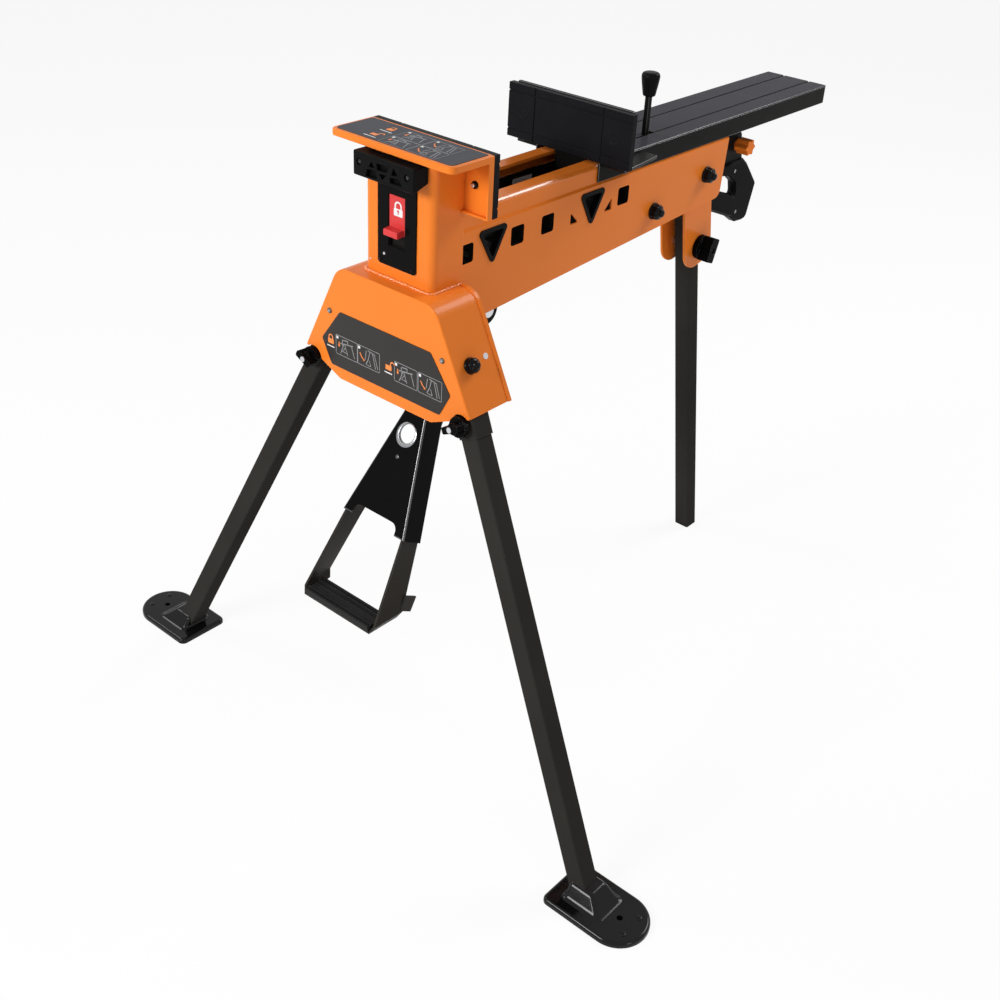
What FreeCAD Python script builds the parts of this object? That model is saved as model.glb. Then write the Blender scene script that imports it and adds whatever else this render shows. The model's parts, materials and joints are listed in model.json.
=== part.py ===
import FreeCAD, Part
import math
import os
from FreeCAD import Vector

# Portable clamping stand. Millimetres, +Z up, +X towards the rear, +Y to the left of someone at the pedal.
# While it is drawn, x = 0 is the back face of the fixed jaw's steel and z = 0 is the floor.

# Clearances
RUN_GAP = 0.3          # between faces that move past each other
SLIDE_GAP = 0.6        # skirts of the sliding jaw against the rails
PIN_GAP = 0.05         # pins in their holes

# Sheet and plate
SHEET = 2.5            # pressed and folded sheet
PLATE = 4.0            # flat steel plate

# Fixed jaw
WORK_HEIGHT = 950.0    # top of the jaw table above the floor
TABLE_WIDTH = 213.0
TABLE_DEPTH = 76.7
TABLE_LIP = 9.2        # folded edge of the table
TABLE_CORNER = 9.0
TABLE_SHEET = 0.6      # thickness of the dark sheet on the table
TABLE_SHEET_INSET = 5.0
JAW_DROP = 83.0        # height of the steel behind the fixed pad
PAD_THICK = 10.3
PAD_GROOVE = 2.2       # width of the grooves in the pads
PAD_GROOVE_DEPTH = 1.4
PAD_GROOVE_Y = 62.0
PAD_GROOVE_SHARE = 0.15
JAW_SCREW_Y = 79.0
JAW_SCREW_RADIUS = 4.5

# Column, grip and lock
COLUMN_SETBACK = 16.6  # from the table's front edge to the column's front
COLUMN_BACK = 2.0      # from the jaw's back face forward to the column's rear edge
COLUMN_CORNER = 11.0
GRIP_WIDTH = 106.0
GRIP_DEPTH = 27.0
GRIP_HEIGHT = 31.5
GRIP_DROP = 15.5       # from the table's top down to the grip's top
GRIP_SLOPE = 8.5       # rise of the grip's underside towards the column
GRIP_SCREW_Y = 41.8
GRIP_SCREW_DROP = 11.0  # from the grip's top down to its screws
SWITCH_WIDTH = 68.8
SWITCH_HEIGHT = 120.0
SWITCH_THICK = 2.4
SWITCH_BOTTOM = 164.0  # from the table's top down to the switch plate's bottom
RIVET_RADIUS = 2.2
RIVET_INSET = 6.0
SLIDER_WIDTH = 28.0
SLIDER_HEIGHT = 50.6
SLIDER_SINK = 1.0      # how far the slider's face lies behind the switch plate's
SLIDER_LEDGE = 12.5    # reach of the thumb ledge
SLIDER_LEDGE_HEIGHT = 9.0
SLIDER_DROP = 117.0    # from the table's top down to the slider plate's lower end
SLIDER_TRAVEL = 18.0
LOCK_BAR_LENGTH = 100.0
LOCK_BAR_WIDTH = 24.0

# Beam
BEAM_WIDTH = 117.8
BEAM_LENGTH = 634.0    # from the jaw's back face to the rear edge
BEAM_NEST = 33.0       # how far the beam reaches forward into the column
BEND_DROP = 111.5      # from the table's top down to the bend under the rails
BEAM_FRONT_DEPTH = 133.5
BEAM_REAR_DEPTH = 98.5
BEAM_REAR_RAKE = 8.0
BEAM_REAR_CORNER = 14.0
RAIL_HEIGHT = 25.5
RAIL_MOUTH = 60.0      # open width between the rails
RAIL_CHAMFER = 4.0
RAIL_LIP = 5.0
WINDOW_SIZE = 27.0
WINDOW_CORNER = 4.0
WINDOW_COLLAR = 6.0
WINDOW_COLLAR_WALL = 2.0
WINDOW_DROP = 33.0     # from the bend down to the windows' middle
SQUARE_WINDOWS = (7.1, 109.8, 174.3, 350.9)
BEZEL_PLACES = (58.5, 274.5)
BEZEL_WIDTH = 52.0
BEZEL_HEIGHT = 45.5
BEZEL_CORNER = 4.0
BEZEL_RIM = 5.0
BEZEL_PROUD = 1.6
BEZEL_DROP = 11.5      # from the bend down to the bezels' top
GORE_SIDE = 18.5       # small triangular windows beside the rear bezel
GORE_OFFSET = 30.0
GORE_DROP = 48.0
FRONT_BOLT_PLACE = (-198.0, 189.0)  # back from the beam's rear edge, down from the table's top
REAR_BOLT_PLACE = (-57.0, 162.0)
BOLT_RADIUS = 6.0
SPACER_RADIUS = 9.0
CAP_RADIUS = 13.2
CAP_LENGTH = 19.5
TRAY_DROP = 138.0      # from the table's top down to the tray
TRAY_THICK = 3.0
TRAY_WIDTH = 96.0
TRAY_EDGE = 21.0       # height of the tray with its upturned edges
TRAY_SHORT = 136.0     # from the tray's rear end to the beam's
FRONT_BULKHEAD = 200.0
REAR_BULKHEAD = 154.0  # from the beam's rear edge forward to the rear bulkhead
WEB_OFFSET = 14.0      # from the middle to the webs between the bulkheads

# Leg housing
HOUSING_DROP = 182.0   # from the table's top down to the housing's
HOUSING_DEPTH = 81.0
HOUSING_FRONT = -84.0
HOUSING_TOP_RADIUS = 30.0
HOUSING_SIDE = 136.0   # height of the housing's sides
HOUSING_HEIGHT = 166.5  # height of its front plate
HOUSING_BOTTOM_HALF = 87.0
HOUSING_LIP_WIDTH = 6.0
HOUSING_LIP_PROUD = 1.5
COLUMN_SINK = 62.0     # how far the column reaches down into the housing
LABEL_THICK = 1.0
LABEL_TIP = (23.8, 114.0)  # in from the housing's side, and down from its top
LABEL_TOP = (36.0, 64.5)
LABEL_LOW = (59.6, 149.0)
LABEL_CORNER = 5.0
HOUSING_SCREW = (17.8, 69.0)
SCREW_RADIUS = 4.0
SCREW_HEAD = 2.4

# Front legs
LEG_SIZE = 30.0
LEG_WALL = 1.8
LEG_CORNER = 3.0
LEG_PIVOT_DROP = 87.0  # from the housing's top down to the leg pivots
FOOT_X = -125.4        # where the leg's middle line meets the floor
FOOT_Y = 445.0
FOOT_RUN_X = 70.3      # how far forward of its pivot the leg stands
FOOT_RUN_Y = 335.0     # how far outside its pivot the leg stands
SLEEVE_WALL = 1.7
SLEEVE_BELOW = 93.0
SLEEVE_ABOVE = 18.0
LEG_END = 10.0         # height of the tube's lower end above the floor
PIVOT_BOLT_RADIUS = 6.0
PIVOT_PLATE = 3.0
PIVOT_PLATE_REACH = 80.0
PIVOT_PLATE_BELOW = 58.0
PIVOT_PLATE_ABOVE = 26.0
STOP_WIDTH = 20.0
STOP_TOP = 25.0
STOP_HEIGHT = 20.0
STOP_DEPTH = 14.0
KNOB_BELOW = 73.0      # knob axis below the pivot, along the leg
KNOB_RADIUS = 14.6
KNOB_DISC = 8.0
KNOB_WING_LENGTH = 29.0
KNOB_WING_THICK = 10.0
KNOB_WING_REACH = 14.0
KNOB_BOLT_RADIUS = 4.0
KNOB_BOSS = 4.5
KNOB_RIBS = 24
KNOB_RIB_DEPTH = 0.6
NOTCH_GAP = 1.5        # round notch of the housing about the knob
FOOT_WIDTH = 92.0
FOOT_AHEAD = 2.5       # how far the foot's middle lies in front of the leg's
FOOT_INNER = 44.5      # from the leg's middle line at the floor to the inner edge
FOOT_OUTER = 100.0
FOOT_RIM = 9.0
FOOT_CORNER = 10.0
SOCKET_WIDTH = 54.5    # the socket's base across the foot
SOCKET_INNER = 22.0    # from the leg's middle line at the floor to the socket's inner and outer edges
SOCKET_OUTER = 43.0
SOCKET_TOP = 29.0
SOCKET_SHOULDER = 16.0  # the outer edge of the socket's top
SOCKET_COLLAR = 1.5
FOOT_HOLE_RADIUS = 4.5
FOOT_HOLE_OUT = 58.0
DIMPLE_OUT = 78.0
DIMPLE_X = 18.5
DIMPLE_RADIUS = 4.0

# Rear leg, bracket and handle
REAR_PIVOT_PLACE = (7.0, 311.0)  # back from the beam's rear edge, down from the table's top
REAR_LEAN = 11.7
REAR_ABOVE = 55.0
REAR_STOP_BELOW = 18.0  # from the pivot down to the stop behind the leg
REAR_STOP_HEIGHT = 8.0
REAR_STOP_DEPTH = 7.0
REAR_PLUG = 3.0
EAR_AHEAD = 42.5       # the ears' reach about the pivot, measured square to the leg and along it
EAR_BEHIND = 36.0
EAR_BELOW = 33.5
EAR_TOP_DROP = 198.0   # from the table's top down to the ears'
EAR_CORNER = 33.0
EAR_MOUTH = 42.0       # open width between the ears
BRIDGE_AHEAD = 52.0    # from the beam's rear edge forward to the bridge
BRIDGE_LENGTH = 40.0
REAR_BOLT_RADIUS = 5.0
REAR_KNOB_RADIUS = 21.0
REAR_KNOB_DISC = 9.0
REAR_WING_LENGTH = 42.0
REAR_WING_THICK = 20.0
REAR_WING_REACH = 20.0
REAR_WING_TURN = 70.0
TANG_THICK = 6.0
HANDLE_THICK = 18.0
HANDLE_FRONT_PLACE = 50.0  # the moulded halves' front end, back from the beam's rear edge
HANDLE_TOP_DROP = 191.0
HANDLE_TANG_AHEAD = 12.0  # from the rear bolt forward to the tang's end
HANDLE_OUTLINE = (     # back from the beam's rear edge, down from the table's top
    (21.0, 198.0), (66.0, 208.0), (104.0, 213.0), (126.0, 229.0), (133.0, 254.0), (21.0, 215.0), (21.0, 251.0),
    (128.0, 294.0), (148.0, 307.0), (182.0, 310.0), (200.0, 244.0), (162.0, 202.0), (147.0, 191.0), (135.0, 142.0))
HANDLE_ROUNDS = (6.0, 10.0, 12.0, 10.0, 4.0, 0.0, 0.0, 8.0, 6.0, 14.0, 8.0, 6.0, 8.0, 8.0)
TANG_END = (187.0, 138.0)  # heights of the tang's front end, down from the table's top
TANG_ROUND = 3.0
HANDLE_SCREW_PLACES = ((123.0, 209.0), (144.0, 287.0))
STAR_KNOB_PLACE = (126.0, 163.0)
STAR_RADIUS = 14.2
STAR_LENGTH = 26.0
STAR_LOBES = 6
STAR_LOBE_DEPTH = 1.9
STUD_RADIUS = 4.0

# Sliding jaw
JAW_FRONT = 280.0      # front face of the sliding pad
JAW_WIDTH = 224.0
JAW_TOP_GAP = 1.5      # below the fixed table's top
JAW_PAD_LOW = 80.5     # from the table's top down to the sliding pad's lower edge
JAW_STEEL = 6.0
JAW_WING_LENGTH = 97.0
JAW_WING_CORNER = 5.0
JAW_WING_FRONT = 100.0  # half width over the wings, in front and at their rear ends
JAW_WING_REAR = 88.5
JAW_WING_DROP = 0.5    # from the underside of the channel's top down to the wings
JAW_STEEL_HALF = 104.0
SADDLE_FRONT = 284.5
SADDLE_REAR = 939.0
SADDLE_DROP = 79.9     # from the table's top down to the saddle's
SADDLE_COVER = 2.1
SADDLE_PLATE = 2.0
SKIRT = 2.5
SKIRT_DEPTH = 30.9     # from the saddle's top down to the skirts' lower edge
COVER_GROOVE_Y = 25.0
COVER_GROOVE = 3.0
COVER_GROOVE_DEPTH = 1.2
GLIDE_LENGTH = 60.0
GLIDE_WIDTH = 16.0
TRACTION_THICK = 8.0
TRACTION_DEPTH = 30.0
LEVER_PLACE = (446.0, -21.5)
LEVER_PIVOT_DEPTH = 20.1  # below the saddle's top
LEVER_WIDTH = 8.5
LEVER_THICK = 7.4
LEVER_RISE = 13.0      # the lever's top above the table's
LEVER_KNOB_HEIGHT = 35.0
LEVER_KNOB_RADII = (9.5, 14.0)
LEVER_SWING = 30.0
LEVER_PIN_RADIUS = 3.0
LEVER_CHEEK = 3.0

# Pedal and drive
PEDAL_PIVOT_PLACE = (91.0, 261.0)  # back from the fixed jaw, down from the table's top
PEDAL_LEAN = 29.6
PEDAL_FACE = 33.8      # from the pivot forward to the pedal plate's face
PEDAL_FLANGE = 40.0
PEDAL_NECK_HALF = 21.3
PEDAL_FOOT_HALF = 61.5
PEDAL_NECK = 175.0     # where the plate starts to widen, down from the pivot
PEDAL_PLATE_TOP = 81.0
PEDAL_PLATE_END = 342.0
PEDAL_WINDOW = 42.0
PEDAL_WINDOW_TOP = 325.0
PEDAL_HOLE_DOWN = 202.0
PEDAL_HOLE_RADIUS = 14.0
PEDAL_NOTCH = 42.0     # length of the notch in the left flange, behind the hole
PEDAL_NOTCH_IN = 6.0   # from the plate's face back to the notch
PEDAL_BOSS_RADIUS = 16.0
PEDAL_AXLE_RADIUS = 6.5
LOOP_BAR = 4.0
LOOP_LAP = 12.0        # how far the arms reach up between the flanges
LOOP_LOW_HALF = 73.5
LOOP_END_HALF = 67.5   # half width at the very end, below the bend of the arms
LOOP_TOE = 4.0         # how much farther out the arms' back edges stand
LOOP_BEND = 12.0       # length of the bend at the arms' lower ends
LOOP_FRONT_END = 482.0
LOOP_BACK_END = 453.5
LOOP_FRONT_SHIFT = 4.5
LOOP_TOP_DEPTH = 35.0
LOOP_LOW_DEPTH = 42.5
TREAD_DEPTH = 36.0
TREAD_THICK = 8.4
TREAD_RIB = 2.5
TREAD_RIBS = 6
TAB_SIZE = 24.0
CRANK_LENGTH = 54.0
CRANK_PIN_RADIUS = 5.0
CRANK_WIDTH = 22.0
PEDAL_STROKE = 20.0    # degrees
HANGER_HALF = 27.0
HANGER_DROP = 170.0    # from the table's top down to the hanger's
HANGER_WIDTH = 44.6
SPRING_RADIUS = 11.0
SPRING_LENGTH = 30.0
DRIVE_BAR_HEIGHT = 12.0
DRIVE_BAR_THICK = 10.0
YOKE_LENGTH = 28.0
YOKE_HEIGHT = 34.0
YOKE_PLAY = 0.8
DRIVE_POST_AHEAD = 104.0  # from the beam's rear edge forward to the post
DRIVE_POST_LENGTH = 25.0
CLUTCH_WIDTH = 20.0
CLUTCH_DROP = 6.0      # from the rails' top down to the clutch's
CLUTCH_HEIGHT = 40.0
CLUTCH_PLATE = 3.0
CLUTCH_PLATES = 3


def from_rear(back, down):
    """A place in (x, z): back from the beam's rear edge and down from the table's top."""
    return BEAM_LENGTH + back, WORK_HEIGHT - down


# Sizes and places that follow from the ones above
TABLE_HALF = TABLE_WIDTH / 2
COLUMN_FRONT = COLUMN_SETBACK - TABLE_DEPTH
BEAM_HALF = BEAM_WIDTH / 2
COLUMN_HALF = BEAM_HALF + SHEET
BEND_Z = WORK_HEIGHT - BEND_DROP
RAIL_TOP = BEND_Z + RAIL_HEIGHT
RAIL_HALF = BEAM_HALF - SKIRT - SLIDE_GAP
BEAM_START = -BEAM_NEST
BEAM_LOW_SLOPE = (BEAM_FRONT_DEPTH - BEAM_REAR_DEPTH) / (BEAM_LENGTH - BEAM_REAR_RAKE)
FRONT_BOLT = from_rear(*FRONT_BOLT_PLACE)
REAR_BOLT = from_rear(*REAR_BOLT_PLACE)
TRAY_Z = WORK_HEIGHT - TRAY_DROP
BULKHEADS = (FRONT_BULKHEAD, BEAM_LENGTH - REAR_BULKHEAD)
HOUSING_BACK = HOUSING_FRONT + HOUSING_DEPTH
HOUSING_TOP = WORK_HEIGHT - HOUSING_DROP
HOUSING_SIDE_Z = HOUSING_TOP - HOUSING_SIDE
HOUSING_BOTTOM = HOUSING_TOP - HOUSING_HEIGHT
COLUMN_FOOT = HOUSING_TOP - COLUMN_SINK
SLEEVE_HALF = LEG_SIZE / 2 + RUN_GAP + SLEEVE_WALL
WALL_OFFSET = SLEEVE_HALF + RUN_GAP + SHEET
LEG_PIVOT_Z = HOUSING_TOP - LEG_PIVOT_DROP
LEG_PIVOT = Vector(FOOT_X + FOOT_RUN_X, FOOT_Y - FOOT_RUN_Y, LEG_PIVOT_Z)
LEG_LENGTH = (Vector(FOOT_X, FOOT_Y, 0) - LEG_PIVOT).Length
LEG_SPLAY = math.atan2(FOOT_RUN_Y, LEG_PIVOT_Z)
JAW_HALF = JAW_WIDTH / 2
REAR_PIVOT = from_rear(*REAR_PIVOT_PLACE)
EAR_TOP = WORK_HEIGHT - EAR_TOP_DROP
HANDLE_SCREWS = [from_rear(*place) for place in HANDLE_SCREW_PLACES]
STAR_PLACE = from_rear(*STAR_KNOB_PLACE)
SADDLE_TOP = WORK_HEIGHT - SADDLE_DROP
SKIRT_LOW = SADDLE_TOP - SKIRT_DEPTH
SADDLE_UNDER = SADDLE_TOP - SADDLE_COVER - SADDLE_PLATE
JAW_PLATE_FRONT = JAW_FRONT + PAD_THICK
LEVER_PIVOT_Z = SADDLE_TOP - LEVER_PIVOT_DEPTH
LEVER_KNOB_TOP = WORK_HEIGHT + LEVER_RISE
LEVER_KNOB_LOW = LEVER_KNOB_TOP - LEVER_KNOB_HEIGHT
PEDAL_PIVOT = (PEDAL_PIVOT_PLACE[0], WORK_HEIGHT - PEDAL_PIVOT_PLACE[1])
HANGER_TOP = WORK_HEIGHT - HANGER_DROP
DRIVE_POST_X = BEAM_LENGTH - DRIVE_POST_AHEAD
CLUTCH_TOP = RAIL_TOP - CLUTCH_DROP
CLUTCH_LOW = CLUTCH_TOP - CLUTCH_HEIGHT
CRANK_Z = PEDAL_PIVOT[1] + CRANK_LENGTH
SWITCH_FACE = COLUMN_FRONT - SWITCH_THICK
SLIDER_Z = WORK_HEIGHT - SLIDER_DROP
EAR_INNER = EAR_MOUTH / 2
EAR_OUTER = EAR_INNER + PLATE


def solid(shape):
    """The shape turned right side out."""
    if shape.Volume < 0:
        shape.reverse()
    return shape


def fuse(first, *others):
    return first.multiFuse(list(others)).removeSplitter()


def cut(base, *tools):
    return base.cut(list(tools)).removeSplitter()


def box(x0, x1, y0, y1, z0, z1):
    return Part.makeBox(x1 - x0, y1 - y0, z1 - z0, Vector(x0, y0, z0))


def mirrored(shape):
    """The same piece on the other side of the stand."""
    return solid(shape.mirror(Vector(0, 0, 0), Vector(0, 1, 0)))


def both_sides(shape):
    return Part.makeCompound([shape, mirrored(shape)])


def wire_through(points, radii, to_space):
    """A closed wire through flat points, with each corner rounded by its own radius."""
    count = len(points)
    flat = [Vector(u, v, 0) for u, v in points]
    rounds = radii if isinstance(radii, (list, tuple)) else [radii] * count
    starts, middles, ends = [], [], []
    for i, corner in enumerate(flat):
        back = (flat[i - 1] - corner).normalize()
        ahead = (flat[(i + 1) % count] - corner).normalize()
        half = back.getAngle(ahead) / 2
        reach = rounds[i] / math.tan(half) if rounds[i] else 0
        starts.append(corner + back * reach)
        ends.append(corner + ahead * reach)
        if rounds[i]:
            inward = (back + ahead).normalize()
            middles.append(corner + inward * (rounds[i] / math.sin(half) - rounds[i]))
        else:
            middles.append(corner)
    edges = []
    for i in range(count):
        if rounds[i]:
            edges.append(Part.Arc(to_space(starts[i]), to_space(middles[i]), to_space(ends[i])).toShape())
        following = starts[(i + 1) % count]
        if (following - ends[i]).Length > 1e-6:
            edges.append(Part.LineSegment(to_space(ends[i]), to_space(following)).toShape())
    return Part.Wire(edges)


def prism_x(points, x0, x1, radii=0):
    """A flat outline in (y, z) drawn out along X."""
    face = Part.Face(wire_through(points, radii, lambda p: Vector(x0, p.x, p.y)))
    return solid(face.extrude(Vector(x1 - x0, 0, 0)))


def prism_y(points, y0, y1, radii=0):
    """A flat outline in (x, z) drawn out along Y."""
    face = Part.Face(wire_through(points, radii, lambda p: Vector(p.x, y0, p.y)))
    return solid(face.extrude(Vector(0, y1 - y0, 0)))


def prism_z(points, z0, z1, radii=0):
    """A flat outline in (x, y) drawn out along Z."""
    face = Part.Face(wire_through(points, radii, lambda p: Vector(p.x, p.y, z0)))
    return solid(face.extrude(Vector(0, 0, z1 - z0)))


def rectangle(u0, u1, v0, v1):
    return [(u0, v0), (u1, v0), (u1, v1), (u0, v1)]


def rod_x(x0, x1, y, z, radius):
    return Part.makeCylinder(radius, x1 - x0, Vector(x0, y, z), Vector(1, 0, 0))


def rod_y(y0, y1, x, z, radius):
    return Part.makeCylinder(radius, y1 - y0, Vector(x, y0, z), Vector(0, 1, 0))


def rod_z(z0, z1, x, y, radius):
    return Part.makeCylinder(radius, z1 - z0, Vector(x, y, z0), Vector(0, 0, 1))


def folded_strip(path, thickness):
    """The outline of a bent sheet: the path, and the same path moved to its left by the thickness."""
    points = [Vector(u, v, 0) for u, v in path]
    inner = []
    for i, here in enumerate(points):
        sides = []
        if i > 0:
            sides.append((here - points[i - 1]).normalize())
        if i < len(points) - 1:
            sides.append((points[i + 1] - here).normalize())
        normals = [Vector(-d.y, d.x, 0) for d in sides]
        mean = normals[0] + normals[-1]
        mean.normalize()
        inner.append(here + mean * (thickness / mean.dot(normals[0])))
    return path + [(p.x, p.y) for p in reversed(inner)]


def lobed(radius, depth, lobes, steps=6):
    """Points round a knob whose edge swells and sinks."""
    count = lobes * steps
    points = []
    for i in range(count):
        turn = 2 * math.pi * i / count
        reach = radius - depth * (1 - math.cos(lobes * turn)) / 2
        points.append((reach * math.cos(turn), reach * math.sin(turn)))
    return points


def square_tube(half, wall, z0, z1, corner):
    """A square tube about the Z axis."""
    outer = prism_z(rectangle(-half, half, -half, half), z0, z1, corner)
    inside = half - wall
    bore = prism_z(rectangle(-inside, inside, -inside, inside), z0 - 1, z1 + 1, max(corner - wall, 0.5))
    return cut(outer, bore)


def wall_y(z, offset=0.0):
    """Half width of a face that runs along the front legs, offset outwards from their middle line."""
    slope = FOOT_RUN_Y / LEG_PIVOT_Z
    return FOOT_Y - slope * z + offset / math.cos(LEG_SPLAY)


def leg_frame():
    """Turns pieces drawn about an upright leg, with its pivot at the origin, to the left leg's place."""
    up = (LEG_PIVOT - Vector(FOOT_X, FOOT_Y, 0)).normalize()
    out = Vector(0, math.cos(LEG_SPLAY), math.sin(LEG_SPLAY))
    back = out.cross(up)
    return FreeCAD.Placement(FreeCAD.Matrix(
        back.x, out.x, up.x, LEG_PIVOT.x,
        back.y, out.y, up.y, LEG_PIVOT.y,
        back.z, out.z, up.z, LEG_PIVOT.z,
        0, 0, 0, 1))


def placed(shape, placement):
    moved = shape.copy()
    moved.Placement = placement.multiply(moved.Placement)
    return moved


def at_rear_leg(shape):
    turn = FreeCAD.Rotation(Vector(0, 1, 0), -REAR_LEAN)
    return placed(shape, FreeCAD.Placement(Vector(REAR_PIVOT[0], 0, REAR_PIVOT[1]), turn))


def at_pedal(shape):
    turn = FreeCAD.Rotation(Vector(0, 1, 0), PEDAL_LEAN)
    return placed(shape, FreeCAD.Placement(Vector(PEDAL_PIVOT[0], 0, PEDAL_PIVOT[1]), turn))


# Beam

def beam_bottom(x):
    return BEND_Z - BEAM_FRONT_DEPTH + BEAM_LOW_SLOPE * x


def triangle(x, top, width, height):
    return [(x - width / 2, top), (x, top - height), (x + width / 2, top)]


def gore(x, side):
    """A small right-angled window, standing upright on the given side of x."""
    low = BEND_Z - GORE_DROP
    return [(x, low), (x + side * GORE_SIDE, low), (x, low + GORE_SIDE)]


def beam_side():
    section = folded_strip([
        (BEAM_HALF, BEND_Z - BEAM_FRONT_DEPTH - BEAM_NEST),
        (BEAM_HALF, BEND_Z - SKIRT - SLIDE_GAP),
        (RAIL_HALF, BEND_Z),
        (RAIL_HALF, RAIL_TOP - RAIL_CHAMFER),
        (RAIL_HALF - RAIL_CHAMFER, RAIL_TOP),
        (RAIL_MOUTH / 2, RAIL_TOP),
        (RAIL_MOUTH / 2, RAIL_TOP - RAIL_LIP)], SHEET)
    rear_low = BEAM_LENGTH - BEAM_REAR_RAKE
    outline = [
        (BEAM_START, beam_bottom(BEAM_START)),
        (rear_low, beam_bottom(rear_low)),
        (BEAM_LENGTH, BEND_Z),
        (BEAM_LENGTH, RAIL_TOP + 1),
        (BEAM_START, RAIL_TOP + 1)]
    side = prism_x(section, BEAM_START, BEAM_LENGTH)
    side = side.common(prism_y(outline, 0, BEAM_WIDTH, [0, BEAM_REAR_CORNER, 0, 0, 0]))
    inner = BEAM_HALF - SHEET
    middle = BEND_Z - WINDOW_DROP
    collars, holes = [], []
    for x in SQUARE_WINDOWS:
        half = WINDOW_SIZE / 2
        rim = half + WINDOW_COLLAR_WALL
        hole = rectangle(x - half, x + half, middle - half, middle + half)
        edge = rectangle(x - rim, x + rim, middle - rim, middle + rim)
        holes.append(prism_y(hole, inner - WINDOW_COLLAR - 1, BEAM_HALF + 1, WINDOW_CORNER))
        collars.append(prism_y(edge, inner - WINDOW_COLLAR, inner, WINDOW_CORNER + WINDOW_COLLAR_WALL))
    for x in BEZEL_PLACES:
        hole = triangle(x, BEND_Z - BEZEL_DROP, BEZEL_WIDTH, BEZEL_HEIGHT)
        holes.append(prism_y(hole, inner - 1, BEAM_HALF + 1, BEZEL_CORNER))
    for side_of in (-1, 1):
        gap = BEZEL_PLACES[1] + side_of * (GORE_OFFSET + GORE_SIDE)
        holes.append(prism_y(gore(gap, -side_of), inner - 1, BEAM_HALF + 1, 1.5))
    for x, z in (FRONT_BOLT, REAR_BOLT):
        holes.append(rod_y(inner - 1, BEAM_HALF + 1, x, z, BOLT_RADIUS))
    return cut(fuse(side, *collars), *holes)


def window_bezels():
    """Black frames in the triangular windows."""
    frames = []
    for x in BEZEL_PLACES:
        top = BEND_Z - BEZEL_DROP
        body = prism_y(triangle(x, top, BEZEL_WIDTH, BEZEL_HEIGHT),
                       BEAM_HALF - SHEET - WINDOW_COLLAR, BEAM_HALF, BEZEL_CORNER)
        flare = 1 + 2 * BEZEL_RIM / BEZEL_WIDTH
        rise = BEZEL_RIM * 0.6
        rim = prism_y(triangle(x, top + rise, BEZEL_WIDTH * flare, BEZEL_HEIGHT * flare),
                      BEAM_HALF, BEAM_HALF + BEZEL_PROUD, BEZEL_CORNER + 1.5)
        shrink = 1 - 2 * BEZEL_RIM / BEZEL_WIDTH
        opening = prism_y(triangle(x, top - rise, BEZEL_WIDTH * shrink, BEZEL_HEIGHT * shrink),
                          BEAM_HALF - SHEET - WINDOW_COLLAR - 1, BEAM_HALF + BEZEL_PROUD + 1, BEZEL_CORNER / 2)
        frames.append(cut(fuse(body, rim), opening))
    return Part.makeCompound([piece for frame in frames for piece in (frame, mirrored(frame))])


def beam_bolts():
    """Cross bolts with a spacer tube between the beam's sides."""
    inner = BEAM_HALF - SHEET
    bolts = [fuse(rod_y(-BEAM_HALF - 4, BEAM_HALF + 4, x, z, BOLT_RADIUS), rod_y(-inner, inner, x, z, SPACER_RADIUS))
             for x, z in (FRONT_BOLT, REAR_BOLT)]
    return Part.makeCompound(bolts)


def dome_cap():
    """A round cap with a domed end, seated on z = 0, hollow where the bolt's end stands in it."""
    skirt = Part.makeCylinder(CAP_RADIUS, CAP_LENGTH * 0.5)
    neck = Part.makeCone(CAP_RADIUS, CAP_RADIUS * 0.72, CAP_LENGTH * 0.3, Vector(0, 0, CAP_LENGTH * 0.5))
    crown = Part.makeCone(CAP_RADIUS * 0.72, CAP_RADIUS * 0.35, CAP_LENGTH * 0.2, Vector(0, 0, CAP_LENGTH * 0.8))
    return cut(fuse(skirt, neck, crown), Part.makeCylinder(BOLT_RADIUS, 4))


def dome_caps():
    """Caps on the cross bolts and on the two leg pivots."""
    caps = []
    onto_side = FreeCAD.Rotation(Vector(1, 0, 0), -90)
    for x, z in (FRONT_BOLT, REAR_BOLT):
        caps.append(placed(dome_cap(), FreeCAD.Placement(Vector(x, BEAM_HALF, z), onto_side)))
    on_leg = placed(dome_cap(), FreeCAD.Placement(Vector(0, WALL_OFFSET, 0), onto_side))
    caps.append(placed(on_leg, leg_frame()))
    return Part.makeCompound([piece for cap in caps for piece in (cap, mirrored(cap))])


def beam_tray():
    """A dark channel between the rails, with its edges turned up."""
    half = TRAY_WIDTH / 2
    section = [(-half, TRAY_Z), (half, TRAY_Z), (half, TRAY_Z + TRAY_EDGE), (half - TRAY_THICK, TRAY_Z + TRAY_EDGE),
               (half - TRAY_THICK, TRAY_Z + TRAY_THICK), (TRAY_THICK - half, TRAY_Z + TRAY_THICK),
               (TRAY_THICK - half, TRAY_Z + TRAY_EDGE), (-half, TRAY_Z + TRAY_EDGE)]
    return prism_x(section, BEAM_START, BEAM_LENGTH - TRAY_SHORT)


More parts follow.
